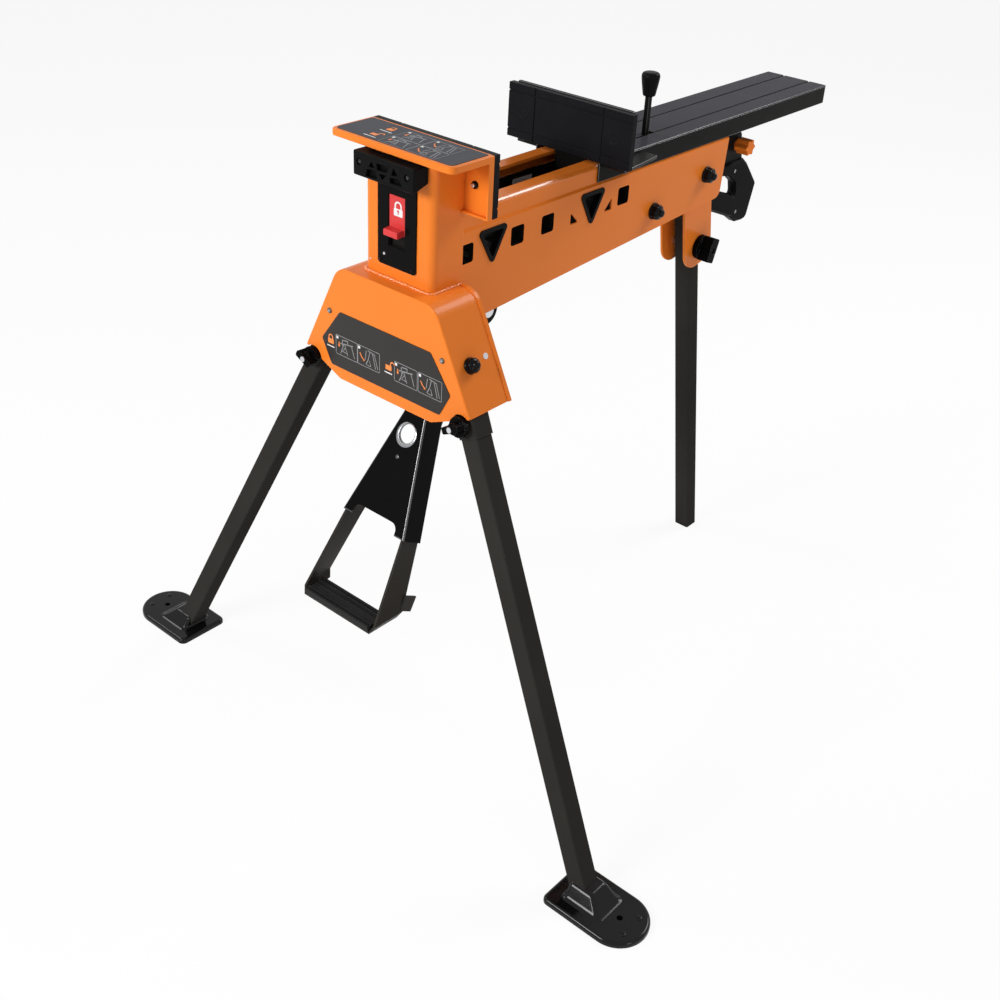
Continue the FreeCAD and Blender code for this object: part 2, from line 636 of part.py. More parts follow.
def beam_bulkheads():
    """Cross plates that hold the beam's sides apart, carry the tray and guide the drive bar, and webs between."""
    inner = BEAM_HALF - SHEET
    slot_half = DRIVE_BAR_THICK / 2 + RUN_GAP
    slot_top = CRANK_Z + DRIVE_BAR_HEIGHT / 2 + RUN_GAP
    plates = []
    for x in BULKHEADS:
        low = beam_bottom(x) + 2
        plate = box(x, x + PLATE, -inner, inner, low, TRAY_Z)
        plates.append(cut(plate, box(x - 1, x + PLATE + 1, -slot_half, slot_half, low - 1, slot_top)))
    front, rear = BULKHEADS[0] + PLATE, BULKHEADS[1]
    outline = [(front, beam_bottom(front) + 2), (rear, beam_bottom(rear) + 2), (rear, TRAY_Z), (front, TRAY_Z)]
    web = cut(prism_y(outline, WEB_OFFSET, WEB_OFFSET + SHEET), rod_y(0, inner, *FRONT_BOLT, SPACER_RADIUS + RUN_GAP))
    return Part.makeCompound([*plates, web, mirrored(web)])


# Fixed jaw, column, grip and lock

def jaw_table():
    """A pressed pan on top, folded down at the rear behind the pad."""
    top = WORK_HEIGHT
    plan = rectangle(-TABLE_DEPTH, 0, -TABLE_HALF, TABLE_HALF)
    corners = [TABLE_CORNER, 0, 0, TABLE_CORNER]
    pan = prism_z(plan, top - TABLE_LIP, top, corners)
    rear = box(-TABLE_LIP, 0, -TABLE_HALF, TABLE_HALF, top - JAW_DROP, top)
    edge = SHEET + 0.5
    hollow_plan = rectangle(-TABLE_DEPTH + edge, -edge, -TABLE_HALF + edge, TABLE_HALF - edge)
    hollow = prism_z(hollow_plan, top - TABLE_LIP - 1, top - edge,
                     [TABLE_CORNER - edge, 0.5, 0.5, TABLE_CORNER - edge])
    pocket = box(-TABLE_LIP - 1, -edge, -TABLE_HALF + edge, TABLE_HALF - edge, top - JAW_DROP + edge, top - edge)
    return cut(fuse(pan, rear), hollow, pocket)


def table_sheet():
    inset = TABLE_SHEET_INSET
    plan = rectangle(-TABLE_DEPTH + inset, -inset, -TABLE_HALF + inset, TABLE_HALF - inset)
    return prism_z(plan, WORK_HEIGHT, WORK_HEIGHT + TABLE_SHEET, [TABLE_CORNER - 2, 3, 3, TABLE_CORNER - 2])


def grooved_pad(x0, x1, half, low, high, face_at_front):
    """A jaw pad with two upright and two level grooves in its working face."""
    face = x0 if face_at_front else x1
    pad = box(x0, x1, -half, half, low, high)
    cut_from = face - PAD_GROOVE_DEPTH
    cut_to = face + PAD_GROOVE_DEPTH
    step = (high - low) * PAD_GROOVE_SHARE
    width = PAD_GROOVE / 2
    grooves = [box(cut_from, cut_to, y - width, y + width, low - 1, high + 1)
               for y in (-PAD_GROOVE_Y, PAD_GROOVE_Y)]
    grooves += [box(cut_from, cut_to, -half - 1, half + 1, z - width, z + width)
                for z in (low + step, high - step)]
    return cut(pad, *grooves)


def fixed_jaw_pad():
    return grooved_pad(0, PAD_THICK, TABLE_HALF, WORK_HEIGHT - JAW_DROP, WORK_HEIGHT - 0.5, False)


def front_column():
    """A channel that is open at the back, where the beam nests in it."""
    high = WORK_HEIGHT - SHEET - 0.5
    back = -COLUMN_BACK
    plan = rectangle(COLUMN_FRONT, back, -COLUMN_HALF, COLUMN_HALF)
    inner = COLUMN_HALF - SHEET
    hollow = rectangle(COLUMN_FRONT + SHEET, back + 1, -inner, inner)
    shell = cut(prism_z(plan, COLUMN_FOOT, high, [COLUMN_CORNER, 0, 0, COLUMN_CORNER]),
                prism_z(hollow, COLUMN_FOOT - 1, high + 1, [COLUMN_CORNER - SHEET, 0, 0, COLUMN_CORNER - SHEET]))
    low = WORK_HEIGHT - JAW_DROP
    edge = SHEET + 0.5
    side = COLUMN_HALF + 1
    jaw_room = fuse(box(-edge, 1, -side, side, low, high + 1), box(-TABLE_LIP, 1, -side, side, low, low + edge))
    return cut(shell, jaw_room, slider_window())


def slider_window():
    """The upright opening for the lock slider, through the switch plate and the column's front."""
    half = SLIDER_WIDTH / 2 + SLIDE_GAP
    low = SLIDER_Z - SLIDER_TRAVEL - SLIDE_GAP
    high = SLIDER_Z + SLIDER_HEIGHT + SLIDE_GAP
    return box(SWITCH_FACE - 1, COLUMN_FRONT + SHEET + 1, -half, half, low, high)


def front_grip():
    top = WORK_HEIGHT - GRIP_DROP
    front = COLUMN_FRONT - GRIP_DEPTH
    half = GRIP_WIDTH / 2
    section = [(COLUMN_FRONT, top + 2), (front, top), (front, top - GRIP_HEIGHT),
               (COLUMN_FRONT, top - GRIP_HEIGHT + GRIP_SLOPE)]
    body = prism_y(section, -half, half, [0, 4, 4, 0])
    pockets = []
    for y in (-20.0, 0.0, 20.0):
        upright = 1 if y else -1
        middle = top - GRIP_SCREW_DROP - 2
        tri = [(y - 8, middle - upright * 6), (y + 8, middle - upright * 6), (y, middle + upright * 7)]
        pockets.append(prism_x(tri, front - 1, front + 3, 1))
    seats = [rod_x(front - 1, front + SCREW_HEAD, side * GRIP_SCREW_Y, top - GRIP_SCREW_DROP, SCREW_RADIUS)
             for side in (-1, 1)]
    return cut(body, *pockets, *seats)


def switch_plate():
    low = WORK_HEIGHT - SWITCH_BOTTOM
    half = SWITCH_WIDTH / 2
    plate = prism_x(rectangle(-half, half, low, low + SWITCH_HEIGHT), SWITCH_FACE, COLUMN_FRONT, 5)
    return cut(plate, slider_window())


def lock_slider():
    """The red slider: a plate that runs in the switch plate's window, with a thumb ledge at its lower end."""
    front = SWITCH_FACE + SLIDER_SINK
    back = COLUMN_FRONT + SHEET + RUN_GAP
    half = SLIDER_WIDTH / 2
    plate = box(front, back, -half, half, SLIDER_Z, SLIDER_Z + SLIDER_HEIGHT)
    ledge_half = half - 1.5
    tip = front - SLIDER_LEDGE
    ledge = prism_y([(front, SLIDER_Z), (front, SLIDER_Z + SLIDER_LEDGE_HEIGHT),
                     (tip, SLIDER_Z + SLIDER_LEDGE_HEIGHT - 1), (tip, SLIDER_Z - 1)],
                    -ledge_half, ledge_half, [0, 0, 1.5, 1.5])
    return fuse(plate, ledge)


def lock_bar():
    """The bar behind the column's front that the slider moves."""
    front = COLUMN_FRONT + SHEET + RUN_GAP
    top = SLIDER_Z + SLIDER_HEIGHT
    half = LOCK_BAR_WIDTH / 2
    return box(front, front + PLATE, -half, half, top - LOCK_BAR_LENGTH, top)


# Leg housing

def housing_section(inset):
    """The housing's walls, seen from the front, drawn well below their lower edge."""
    low = HOUSING_SIDE_Z - 60
    top = HOUSING_TOP - inset
    offset = WALL_OFFSET - inset
    return [(-wall_y(low, offset), low), (wall_y(low, offset), low),
            (wall_y(top, offset), top), (-wall_y(top, offset), top)]


def on_housing(inset, down):
    """A place on the housing's front in (y, z): in from its side and down from its top."""
    z = HOUSING_TOP - down
    return wall_y(z, WALL_OFFSET) - inset, z


def housing_prism(inset, x0, x1):
    radius = HOUSING_TOP_RADIUS - inset
    return prism_x(housing_section(inset), x0, x1, [0, 0, radius, radius])


def knob_axis_at(x):
    """Where the left knob's axis crosses a plane across the stand."""
    frame = leg_frame()
    start = frame.multVec(Vector(0, 0, -KNOB_BELOW))
    ahead = frame.multVec(Vector(-1, 0, -KNOB_BELOW)) - start
    return start + ahead * ((x - start.x) / ahead.x)


def leg_housing():
    """The pressed shell: front plate, top, sloping sides and a proud lip at the back."""
    far = FOOT_Y
    walls = cut(housing_prism(0, HOUSING_FRONT, HOUSING_BACK),
                housing_prism(SHEET, HOUSING_FRONT - 1, HOUSING_BACK + 1))
    lip = cut(housing_prism(-HOUSING_LIP_PROUD, HOUSING_BACK - HOUSING_LIP_WIDTH, HOUSING_BACK),
              housing_prism(SHEET, HOUSING_FRONT - 1, HOUSING_BACK + 1))
    below = box(HOUSING_FRONT - 1, HOUSING_BACK + 1, -far, far, 0, HOUSING_SIDE_Z)
    walls = cut(fuse(walls, lip), below)
    corner = wall_y(HOUSING_SIDE_Z, WALL_OFFSET)
    top = wall_y(HOUSING_TOP, WALL_OFFSET)
    outline = [(-HOUSING_BOTTOM_HALF, HOUSING_BOTTOM), (HOUSING_BOTTOM_HALF, HOUSING_BOTTOM),
               (corner, HOUSING_SIDE_Z), (top, HOUSING_TOP), (-top, HOUSING_TOP), (-corner, HOUSING_SIDE_Z)]
    radius = HOUSING_TOP_RADIUS
    front = prism_x(outline, HOUSING_FRONT, HOUSING_FRONT + SHEET, [8, 8, 2, radius, radius, 2])
    notch = knob_axis_at(HOUSING_FRONT)
    notches = [rod_x(HOUSING_FRONT - 1, HOUSING_FRONT + SHEET + 1, side * notch.y, notch.z,
                     KNOB_RADIUS + NOTCH_GAP) for side in (-1, 1)]
    shell = fuse(walls, cut(front, *notches))
    column_room = box(COLUMN_FRONT, HOUSING_BACK + 1, -COLUMN_HALF, COLUMN_HALF, HOUSING_TOP - SHEET - 1,
                      HOUSING_TOP + 2)
    bolt = placed(rod_y(SLEEVE_HALF, WALL_OFFSET + 1, 0, 0, PIVOT_BOLT_RADIUS), leg_frame())
    return cut(shell, column_room, bolt, mirrored(bolt))


def housing_rear_plate():
    """Closes the housing's back between the two leg slots."""
    offset = -SLEEVE_HALF - RUN_GAP - PIVOT_PLATE
    top = COLUMN_FOOT - 6
    low = HOUSING_BOTTOM + 14
    plan = [(-HOUSING_BOTTOM_HALF, HOUSING_BOTTOM), (HOUSING_BOTTOM_HALF, HOUSING_BOTTOM),
            (wall_y(low, offset), low), (wall_y(top, offset), top),
            (-wall_y(top, offset), top), (-wall_y(low, offset), low)]
    return prism_x(plan, HOUSING_BACK - SHEET, HOUSING_BACK, [8, 8, 0, 0, 0, 0])


def housing_label_panel():
    right = [on_housing(*place) for place in (LABEL_LOW, LABEL_TIP, LABEL_TOP)]
    plan = right + [(-y, z) for y, z in reversed(right)]
    return prism_x(plan, HOUSING_FRONT - LABEL_THICK, HOUSING_FRONT, LABEL_CORNER)


def front_screws():
    """Screws in the housing, the grip and the fixed jaw, and the switch plate's rivets."""
    y, z = on_housing(*HOUSING_SCREW)
    grip_front = COLUMN_FRONT - GRIP_DEPTH
    grip_z = WORK_HEIGHT - GRIP_DROP - GRIP_SCREW_DROP
    jaw_face = -SHEET - 0.5
    jaw_z = WORK_HEIGHT - JAW_DROP / 2 - 2
    rivet_z = WORK_HEIGHT - SWITCH_BOTTOM + RIVET_INSET
    screws = [rod_x(HOUSING_FRONT - SCREW_HEAD, HOUSING_FRONT, y, z, SCREW_RADIUS),
              rod_x(grip_front + 0.8, grip_front + SCREW_HEAD, GRIP_SCREW_Y, grip_z, SCREW_RADIUS),
              rod_x(jaw_face - SCREW_HEAD, jaw_face, JAW_SCREW_Y, jaw_z, JAW_SCREW_RADIUS),
              rod_x(SWITCH_FACE - 1.2, SWITCH_FACE, SWITCH_WIDTH / 2 - RIVET_INSET, rivet_z, RIVET_RADIUS)]
    return Part.makeCompound(screws + [mirrored(screw) for screw in screws])


def pivot_plates():
    """Inner walls beside the leg sleeves, and blocks in front that the opened legs rest against."""
    near = -SLEEVE_HALF - RUN_GAP
    plate = box(-PIVOT_PLATE_REACH, PIVOT_PLATE_REACH, near - PIVOT_PLATE, near,
                -PIVOT_PLATE_BELOW, PIVOT_PLATE_ABOVE)
    plate = cut(plate, rod_y(near - PIVOT_PLATE - 1, near + 1, 0, 0, PIVOT_BOLT_RADIUS))
    stop = box(near - STOP_DEPTH, near, near, STOP_WIDTH / 2, -STOP_TOP - STOP_HEIGHT, -STOP_TOP)
    inside = box(HOUSING_FRONT + SHEET, HOUSING_BACK - SHEET, 0, FOOT_Y, HOUSING_BOTTOM, HOUSING_TOP)
    return both_sides(placed(fuse(plate, stop), leg_frame()).common(inside))


def leg_pivot_bolts():
    near = -SLEEVE_HALF - RUN_GAP - PIVOT_PLATE
    bolt = fuse(rod_y(near, WALL_OFFSET + 4, 0, 0, PIVOT_BOLT_RADIUS),
                rod_y(near - 5, near, 0, 0, PIVOT_BOLT_RADIUS + 4))
    return both_sides(placed(bolt, leg_frame()))


# Front legs

def leg_sleeve():
    sleeve = square_tube(SLEEVE_HALF, SLEEVE_WALL, -SLEEVE_BELOW, SLEEVE_ABOVE, LEG_CORNER + 1)
    boss = rod_x(-SLEEVE_HALF - KNOB_BOSS, -SLEEVE_HALF, 0, -KNOB_BELOW, KNOB_BOLT_RADIUS + 5)
    bolt = rod_x(-SLEEVE_HALF - KNOB_BOSS - 1, 0, 0, -KNOB_BELOW, KNOB_BOLT_RADIUS + PIN_GAP)
    pivot = rod_y(-SLEEVE_HALF - 1, SLEEVE_HALF + 1, 0, 0, PIVOT_BOLT_RADIUS + PIN_GAP)
    return placed(cut(fuse(sleeve, boss), bolt, pivot), leg_frame())


def leg_tube():
    low = -LEG_LENGTH * (1 - LEG_END / LEG_PIVOT_Z)
    tube = square_tube(LEG_SIZE / 2, LEG_WALL, low, SLEEVE_ABOVE - 2, LEG_CORNER)
    pivot = rod_y(-LEG_SIZE, LEG_SIZE, 0, 0, PIVOT_BOLT_RADIUS + PIN_GAP)
    return placed(cut(tube, pivot), leg_frame())


def leg_axis(z):
    share = z / LEG_PIVOT_Z
    foot = Vector(FOOT_X, FOOT_Y, 0)
    return foot + (LEG_PIVOT - foot) * share


def foot():
    """A pressed foot: a plate with a turned-down rim and a raised socket about the tube."""
    half = FOOT_WIDTH / 2
    low_y = FOOT_Y - FOOT_INNER
    high_y = FOOT_Y + FOOT_OUTER
    middle = FOOT_X - FOOT_AHEAD
    plan = rectangle(middle - half, middle + half, low_y, high_y)
    plate = prism_z(plan, 0, FOOT_RIM, [FOOT_CORNER, FOOT_CORNER, half, half])
    inside = half - SHEET
    hollow = rectangle(middle - inside, middle + inside, low_y + SHEET, high_y - SHEET)
    corner = FOOT_CORNER - SHEET
    plate = cut(plate, prism_z(hollow, -1, FOOT_RIM - SHEET, [corner, corner, inside, inside]))
    half_base, half_top = SOCKET_WIDTH / 2, LEG_SIZE / 2 + SOCKET_COLLAR
    inner = FOOT_Y - SOCKET_INNER
    leg_x = leg_axis(SOCKET_TOP).x
    base = rectangle(middle - half_base, middle + half_base, inner, FOOT_Y + SOCKET_OUTER)
    top = rectangle(leg_x - half_top, leg_x + half_top, inner, FOOT_Y + SOCKET_SHOULDER)
    socket = Part.makeLoft([socket_ring(base, FOOT_RIM - SHEET), socket_ring(top, SOCKET_TOP)], True, True)
    half_leg = LEG_SIZE / 2
    low = -LEG_LENGTH * (1 - LEG_END / LEG_PIVOT_Z)
    tube_room = placed(box(-half_leg, half_leg, -half_leg, half_leg, low, 0), leg_frame())
    hole = rod_z(-1, FOOT_RIM + 1, middle, FOOT_Y + FOOT_HOLE_OUT, FOOT_HOLE_RADIUS)
    dimples = [Part.makeCone(DIMPLE_RADIUS, DIMPLE_RADIUS / 2, 2, Vector(middle + side * DIMPLE_X,
               FOOT_Y + DIMPLE_OUT, FOOT_RIM)) for side in (-1, 1)]
    return cut(fuse(plate, solid(socket), *dimples), tube_room, hole)


def socket_ring(plan, z):
    """A level ring of the socket, with rounded corners."""
    return wire_through(plan, LEG_CORNER, lambda p: Vector(p.x, p.y, z))


def wing_knob(radius, disc, wing, bore):
    """A knob along +Z from z = 0: a ribbed disc, a hub and a cross wing (length, thickness, reach) with a bore."""
    length, thick, reach = wing
    base = prism_z(lobed(radius, KNOB_RIB_DEPTH, KNOB_RIBS, 4), 0, disc)
    hub = Part.makeCylinder(bore + 4.5, disc + reach * 0.6)
    bar = prism_z(rectangle(-length / 2, length / 2, -thick / 2, thick / 2), disc, disc + reach, 3)
    return cut(fuse(base, hub, bar), Part.makeCylinder(bore, disc + reach + 1))


def leg_knob():
    wing = (KNOB_WING_LENGTH, KNOB_WING_THICK, KNOB_WING_REACH)
    knob = wing_knob(KNOB_RADIUS, KNOB_DISC, wing, KNOB_BOLT_RADIUS)
    knob.rotate(Vector(0, 0, 0), Vector(0, 0, 1), 90)
    start = Vector(-SLEEVE_HALF - KNOB_BOSS - RUN_GAP, 0, -KNOB_BELOW)
    ahead = FreeCAD.Rotation(Vector(0, 1, 0), -90)
    return placed(placed(knob, FreeCAD.Placement(start, ahead)), leg_frame())


def leg_knob_bolt():
    start = -SLEEVE_HALF - KNOB_BOSS - RUN_GAP - KNOB_DISC - KNOB_WING_REACH - 1
    tip = -LEG_SIZE / 2 - RUN_GAP
    return placed(rod_x(start, tip, 0, -KNOB_BELOW, KNOB_BOLT_RADIUS), leg_frame())


# Rear leg, its bracket and the carrying handle

def rear_bracket():
    """Two ears along the leg, joined by a bridge inside the beam, with a stop bar for the leg."""
    inner = BEAM_HALF - SHEET
    plan = rectangle(-EAR_AHEAD, EAR_BEHIND, -EAR_BELOW, EAR_TOP - REAR_PIVOT[1] + EAR_AHEAD)
    below_top = box(0, REAR_PIVOT[0] + EAR_AHEAD + EAR_BEHIND, -inner, inner, 0, EAR_TOP)
    bore = rod_y(-inner, inner, *REAR_PIVOT, REAR_BOLT_RADIUS)
    ears = []
    for near, far in ((-EAR_OUTER, -EAR_INNER), (EAR_INNER, EAR_OUTER)):
        ear = at_rear_leg(prism_y(plan, near, far, [EAR_CORNER, EAR_CORNER, 0, 0]))
        ears.append(cut(ear.common(below_top), bore))
    front = BEAM_LENGTH - BRIDGE_AHEAD
    bridge = box(front, front + BRIDGE_LENGTH, -inner, inner, EAR_TOP - PLATE, EAR_TOP)
    face = LEG_SIZE / 2 + RUN_GAP
    stop = at_rear_leg(box(face, face + REAR_STOP_DEPTH, -EAR_INNER, EAR_INNER,
                           -REAR_STOP_BELOW - REAR_STOP_HEIGHT, -REAR_STOP_BELOW))
    return fuse(ears[0], ears[1], bridge, stop)


def rear_leg_tube():
    low = -REAR_PIVOT[1] / math.cos(math.radians(REAR_LEAN)) - LEG_SIZE
    tube = at_rear_leg(square_tube(LEG_SIZE / 2, LEG_WALL, low, REAR_ABOVE, LEG_CORNER))
    pivot = rod_y(-LEG_SIZE, LEG_SIZE, *REAR_PIVOT, REAR_BOLT_RADIUS + PIN_GAP)
    far = REAR_PIVOT[0] + REAR_PIVOT[1]
    return cut(tube, pivot, box(REAR_PIVOT[0], far, -LEG_SIZE, LEG_SIZE, -LEG_SIZE * 2, REAR_PLUG))


def rear_leg_plug():
    """The plug in the rear leg's lower end, flat on the floor."""
    low = -REAR_PIVOT[1] / math.cos(math.radians(REAR_LEAN)) - LEG_SIZE
    half = LEG_SIZE / 2
    inside = half - LEG_WALL
    pad = prism_z(rectangle(-half, half, -half, half), low, 0, LEG_CORNER)
    spigot = prism_z(rectangle(-inside, inside, -inside, inside), low, 0, LEG_CORNER - LEG_WALL)
    far = REAR_PIVOT[0] + REAR_PIVOT[1]
    at_floor = box(REAR_PIVOT[0], far, -LEG_SIZE, LEG_SIZE, 0, REAR_PLUG)
    in_tube = box(REAR_PIVOT[0], far, -LEG_SIZE, LEG_SIZE, REAR_PLUG, REAR_PLUG + 18)
    return fuse(at_rear_leg(pad).common(at_floor), at_rear_leg(spigot).common(in_tube))


def rear_pivot_bolt():
    """The bolt through the ears, with a spacer on each side of the leg and a nut at its far end."""
    start = -EAR_OUTER - RUN_GAP - REAR_KNOB_DISC - REAR_WING_REACH + 3
    near = LEG_SIZE / 2 + SLIDE_GAP
    return fuse(rod_y(start, EAR_OUTER, *REAR_PIVOT, REAR_BOLT_RADIUS),
                rod_y(near, EAR_INNER, *REAR_PIVOT, REAR_BOLT_RADIUS + 6),
                rod_y(-EAR_INNER, -near, *REAR_PIVOT, REAR_BOLT_RADIUS + 6),
                rod_y(EAR_OUTER, EAR_OUTER + 6, *REAR_PIVOT, REAR_BOLT_RADIUS + 4))


def rear_leg_knob():
    wing = (REAR_WING_LENGTH, REAR_WING_THICK, REAR_WING_REACH)
    knob = wing_knob(REAR_KNOB_RADIUS, REAR_KNOB_DISC, wing, REAR_BOLT_RADIUS + PIN_GAP)
    knob.rotate(Vector(0, 0, 0), Vector(0, 0, 1), REAR_WING_TURN)
    near = FreeCAD.Rotation(Vector(1, 0, 0), 90)
    return placed(knob, FreeCAD.Placement(Vector(REAR_PIVOT[0], -EAR_OUTER - RUN_GAP, REAR_PIVOT[1]), near))


def handle_side(y0, y1):
    """The handle from the side: an upper arm out of the beam, a grip, and a lower arm back to the bracket."""
    front = REAR_BOLT[0] - HANDLE_TANG_AHEAD
    low, high = (WORK_HEIGHT - down for down in TANG_END)
    outline = [(front, low)] + [from_rear(*place) for place in HANDLE_OUTLINE] + [(front, high)]
    radii = [TANG_ROUND, *HANDLE_ROUNDS, TANG_ROUND]
    return prism_y(outline, y0, y1, radii)


def handle_tang():
    half = TANG_THICK / 2
    holes = [rod_y(-half - 1, half + 1, *REAR_BOLT, SPACER_RADIUS),
             rod_y(-half - 1, half + 1, *STAR_PLACE, STUD_RADIUS + PIN_GAP)]
    holes += [rod_y(-half - 1, half + 1, x, z, 2.5) for x, z in HANDLE_SCREWS]
    return cut(handle_side(-half, half), *holes)


def handle_half():
    """One moulded half of the grip, on the left side of the tang."""
    near, far = TANG_THICK / 2, HANDLE_THICK / 2
    front, top = from_rear(HANDLE_FRONT_PLACE, HANDLE_TOP_DROP)
    moulded = box(front, 2 * front, near, far, 0, top)
    holes = [rod_y(near - 1, far + 1, x, z, 2.5) for x, z in HANDLE_SCREWS]
    holes += [rod_y(far - 3, far + 1, x, z, SCREW_RADIUS) for x, z in HANDLE_SCREWS]
    return cut(handle_side(near, far).common(moulded), *holes)


def handle_screws():
    far = HANDLE_THICK / 2
    screws = [fuse(rod_y(-far + 1, far - 1, x, z, 2.5), rod_y(far - 3, far - 0.6, x, z, SCREW_RADIUS),
                   rod_y(0.6 - far, 3 - far, x, z, SCREW_RADIUS)) for x, z in HANDLE_SCREWS]
    return Part.makeCompound(screws)


def star_knob():
    """The lobed knob beside the tang, along -Y."""
    knob = prism_z(lobed(STAR_RADIUS, STAR_LOBE_DEPTH * 2, STAR_LOBES, 12), 4, STAR_LENGTH)
    collar = Part.makeCylinder(STAR_RADIUS * 0.8, 4)
    knob = cut(fuse(knob, collar), Part.makeCylinder(STUD_RADIUS, STAR_LENGTH - 4))
    near = FreeCAD.Rotation(Vector(1, 0, 0), 90)
    start = Vector(STAR_PLACE[0], -TANG_THICK / 2 - RUN_GAP, STAR_PLACE[1])
    return placed(knob, FreeCAD.Placement(start, near))


def star_stud():
    reach = TANG_THICK / 2 + RUN_GAP
    return fuse(rod_y(-reach - STAR_LENGTH + 4, reach, *STAR_PLACE, STUD_RADIUS),
                rod_y(reach, reach + 5, *STAR_PLACE, STUD_RADIUS + 3))


# Sliding jaw

def saddle_channel():
    """The channel that rides on the rails: a top plate with a skirt on each side."""
    half = BEAM_HALF
    top = SADDLE_TOP - SADDLE_COVER
    plate = box(JAW_PLATE_FRONT + JAW_STEEL, SADDLE_REAR, -half, half, SADDLE_UNDER, top)
    skirts = [box(SADDLE_FRONT, SADDLE_REAR, side * half - (SKIRT if side > 0 else 0),
                  side * half + (SKIRT if side < 0 else 0), SKIRT_LOW, top) for side in (-1, 1)]
    return cut(fuse(plate, *skirts), lever_slot())


def lever_slot():
    x, y = LEVER_PLACE
    rise = SADDLE_TOP - LEVER_PIVOT_Z
    lean = math.radians(LEVER_SWING)
    front = x - LEVER_WIDTH / 2 - 2
    back = x + rise * math.tan(lean) + LEVER_WIDTH / 2 / math.cos(lean) + 2
    half = LEVER_THICK / 2 + SLIDE_GAP
    return box(front, back, y - half, y + half, SADDLE_UNDER - 1, SADDLE_TOP + 1)


def saddle_cover():
    """The ribbed top: three strips with two grooves between them."""
    half = BEAM_HALF
    low = SADDLE_TOP - SADDLE_COVER
    cover = box(JAW_PLATE_FRONT + JAW_STEEL, SADDLE_REAR, -half, half, low, SADDLE_TOP)
    grooves = [box(JAW_FRONT, SADDLE_REAR + 1, side * COVER_GROOVE_Y - COVER_GROOVE / 2,
                   side * COVER_GROOVE_Y + COVER_GROOVE / 2, SADDLE_TOP - COVER_GROOVE_DEPTH, SADDLE_TOP + 1)
               for side in (-1, 1)]
    return cut(cover, lever_slot(), *grooves)


def jaw_bracket():
    """The steel behind the sliding pad, with a level wing on each side of the channel."""
    front = JAW_PLATE_FRONT
    back = front + JAW_STEEL
    wing_top = SADDLE_UNDER - JAW_WING_DROP
    wing_low = wing_top - PLATE
    half = RAIL_MOUTH / 2 - 3
    upright = box(front, back, -JAW_STEEL_HALF, JAW_STEEL_HALF, SADDLE_TOP, WORK_HEIGHT)
    tongue = box(front, back, -half, half, SKIRT_LOW, SADDLE_TOP)
    foot_plate = box(back, back + 30, -half, half, SADDLE_TOP, SADDLE_TOP + PLATE)
    rear = front + JAW_WING_LENGTH
    plan = [(front, BEAM_HALF), (rear, BEAM_HALF), (rear, JAW_WING_REAR), (front, JAW_WING_FRONT)]
    wing = prism_z(plan, wing_low, wing_top, [0, 0, JAW_WING_CORNER, 0])
    leg = box(front, back, BEAM_HALF, JAW_WING_REAR, wing_top, SADDLE_TOP)
    side = fuse(wing, leg)
    return fuse(upright, tongue, foot_plate, side, mirrored(side))


def sliding_jaw_pad():
    return grooved_pad(JAW_FRONT, JAW_PLATE_FRONT, JAW_HALF, WORK_HEIGHT - JAW_PAD_LOW,
                       WORK_HEIGHT - JAW_TOP_GAP, True)


def traction_bar():
    """The bar under the channel that the clutch plates grip."""
    half = TRACTION_THICK / 2
    return box(JAW_PLATE_FRONT + JAW_STEEL, SADDLE_REAR - 8, -half, half,
               SADDLE_UNDER - TRACTION_DEPTH, SADDLE_UNDER)


def glide_pads():
    """Plastic pads between the channel and the tops of the rails."""
    y = (RAIL_HALF + RAIL_MOUTH / 2) / 2
    pads = []
    for x in (JAW_PLATE_FRONT + 20, (JAW_FRONT + BEAM_LENGTH) / 2):
        pads.append(box(x, x + GLIDE_LENGTH, y - GLIDE_WIDTH / 2, y + GLIDE_WIDTH / 2,
                        RAIL_TOP + RUN_GAP, SADDLE_UNDER))
    return Part.makeCompound([piece for pad in pads for piece in (pad, mirrored(pad))])


def lever_bracket():
    """Two cheeks and a pin under the channel, in which the lever turns."""
    x, y = LEVER_PLACE
    gap = LEVER_THICK / 2 + RUN_GAP
    cheeks = []
    for side in (-1, 1):
        near, far = sorted((y + side * gap, y + side * (gap + LEVER_CHEEK)))
        cheeks.append(box(x - 14, x + 14, near, far, LEVER_PIVOT_Z - 7, SADDLE_UNDER))
    pin = rod_y(y - gap, y + gap, x, LEVER_PIVOT_Z, LEVER_PIN_RADIUS)
    return fuse(cheeks[0], pin, cheeks[1])


def lever_arm():
    x, y = LEVER_PLACE
    half = LEVER_WIDTH / 2
    thick = LEVER_THICK / 2
    arm = box(x - half, x + half, y - thick, y + thick, LEVER_PIVOT_Z, LEVER_KNOB_LOW + 6)
    eye = rod_y(y - thick, y + thick, x, LEVER_PIVOT_Z, half)
    pin = rod_y(y - thick - 1, y + thick + 1, x, LEVER_PIVOT_Z, LEVER_PIN_RADIUS + PIN_GAP)
    return cut(fuse(arm, eye), pin)


def lever_knob():
    x, y = LEVER_PLACE
    low, high = LEVER_KNOB_RADII
    tall = LEVER_KNOB_TOP - LEVER_KNOB_LOW
    cone = Part.makeCone(low, high, tall * 0.8, Vector(x, y, LEVER_KNOB_LOW))
    crown = Part.makeCone(high, high * 0.6, tall * 0.2, Vector(x, y, LEVER_KNOB_LOW + tall * 0.8))
    half = LEVER_WIDTH / 2
    thick = LEVER_THICK / 2
    arm = box(x - half, x + half, y - thick, y + thick, LEVER_KNOB_LOW - 1, LEVER_KNOB_LOW + 6)
    return cut(fuse(cone, crown), arm)


# Pedal and drive: the pedal is drawn upright, with its pivot at the origin and down along -Z

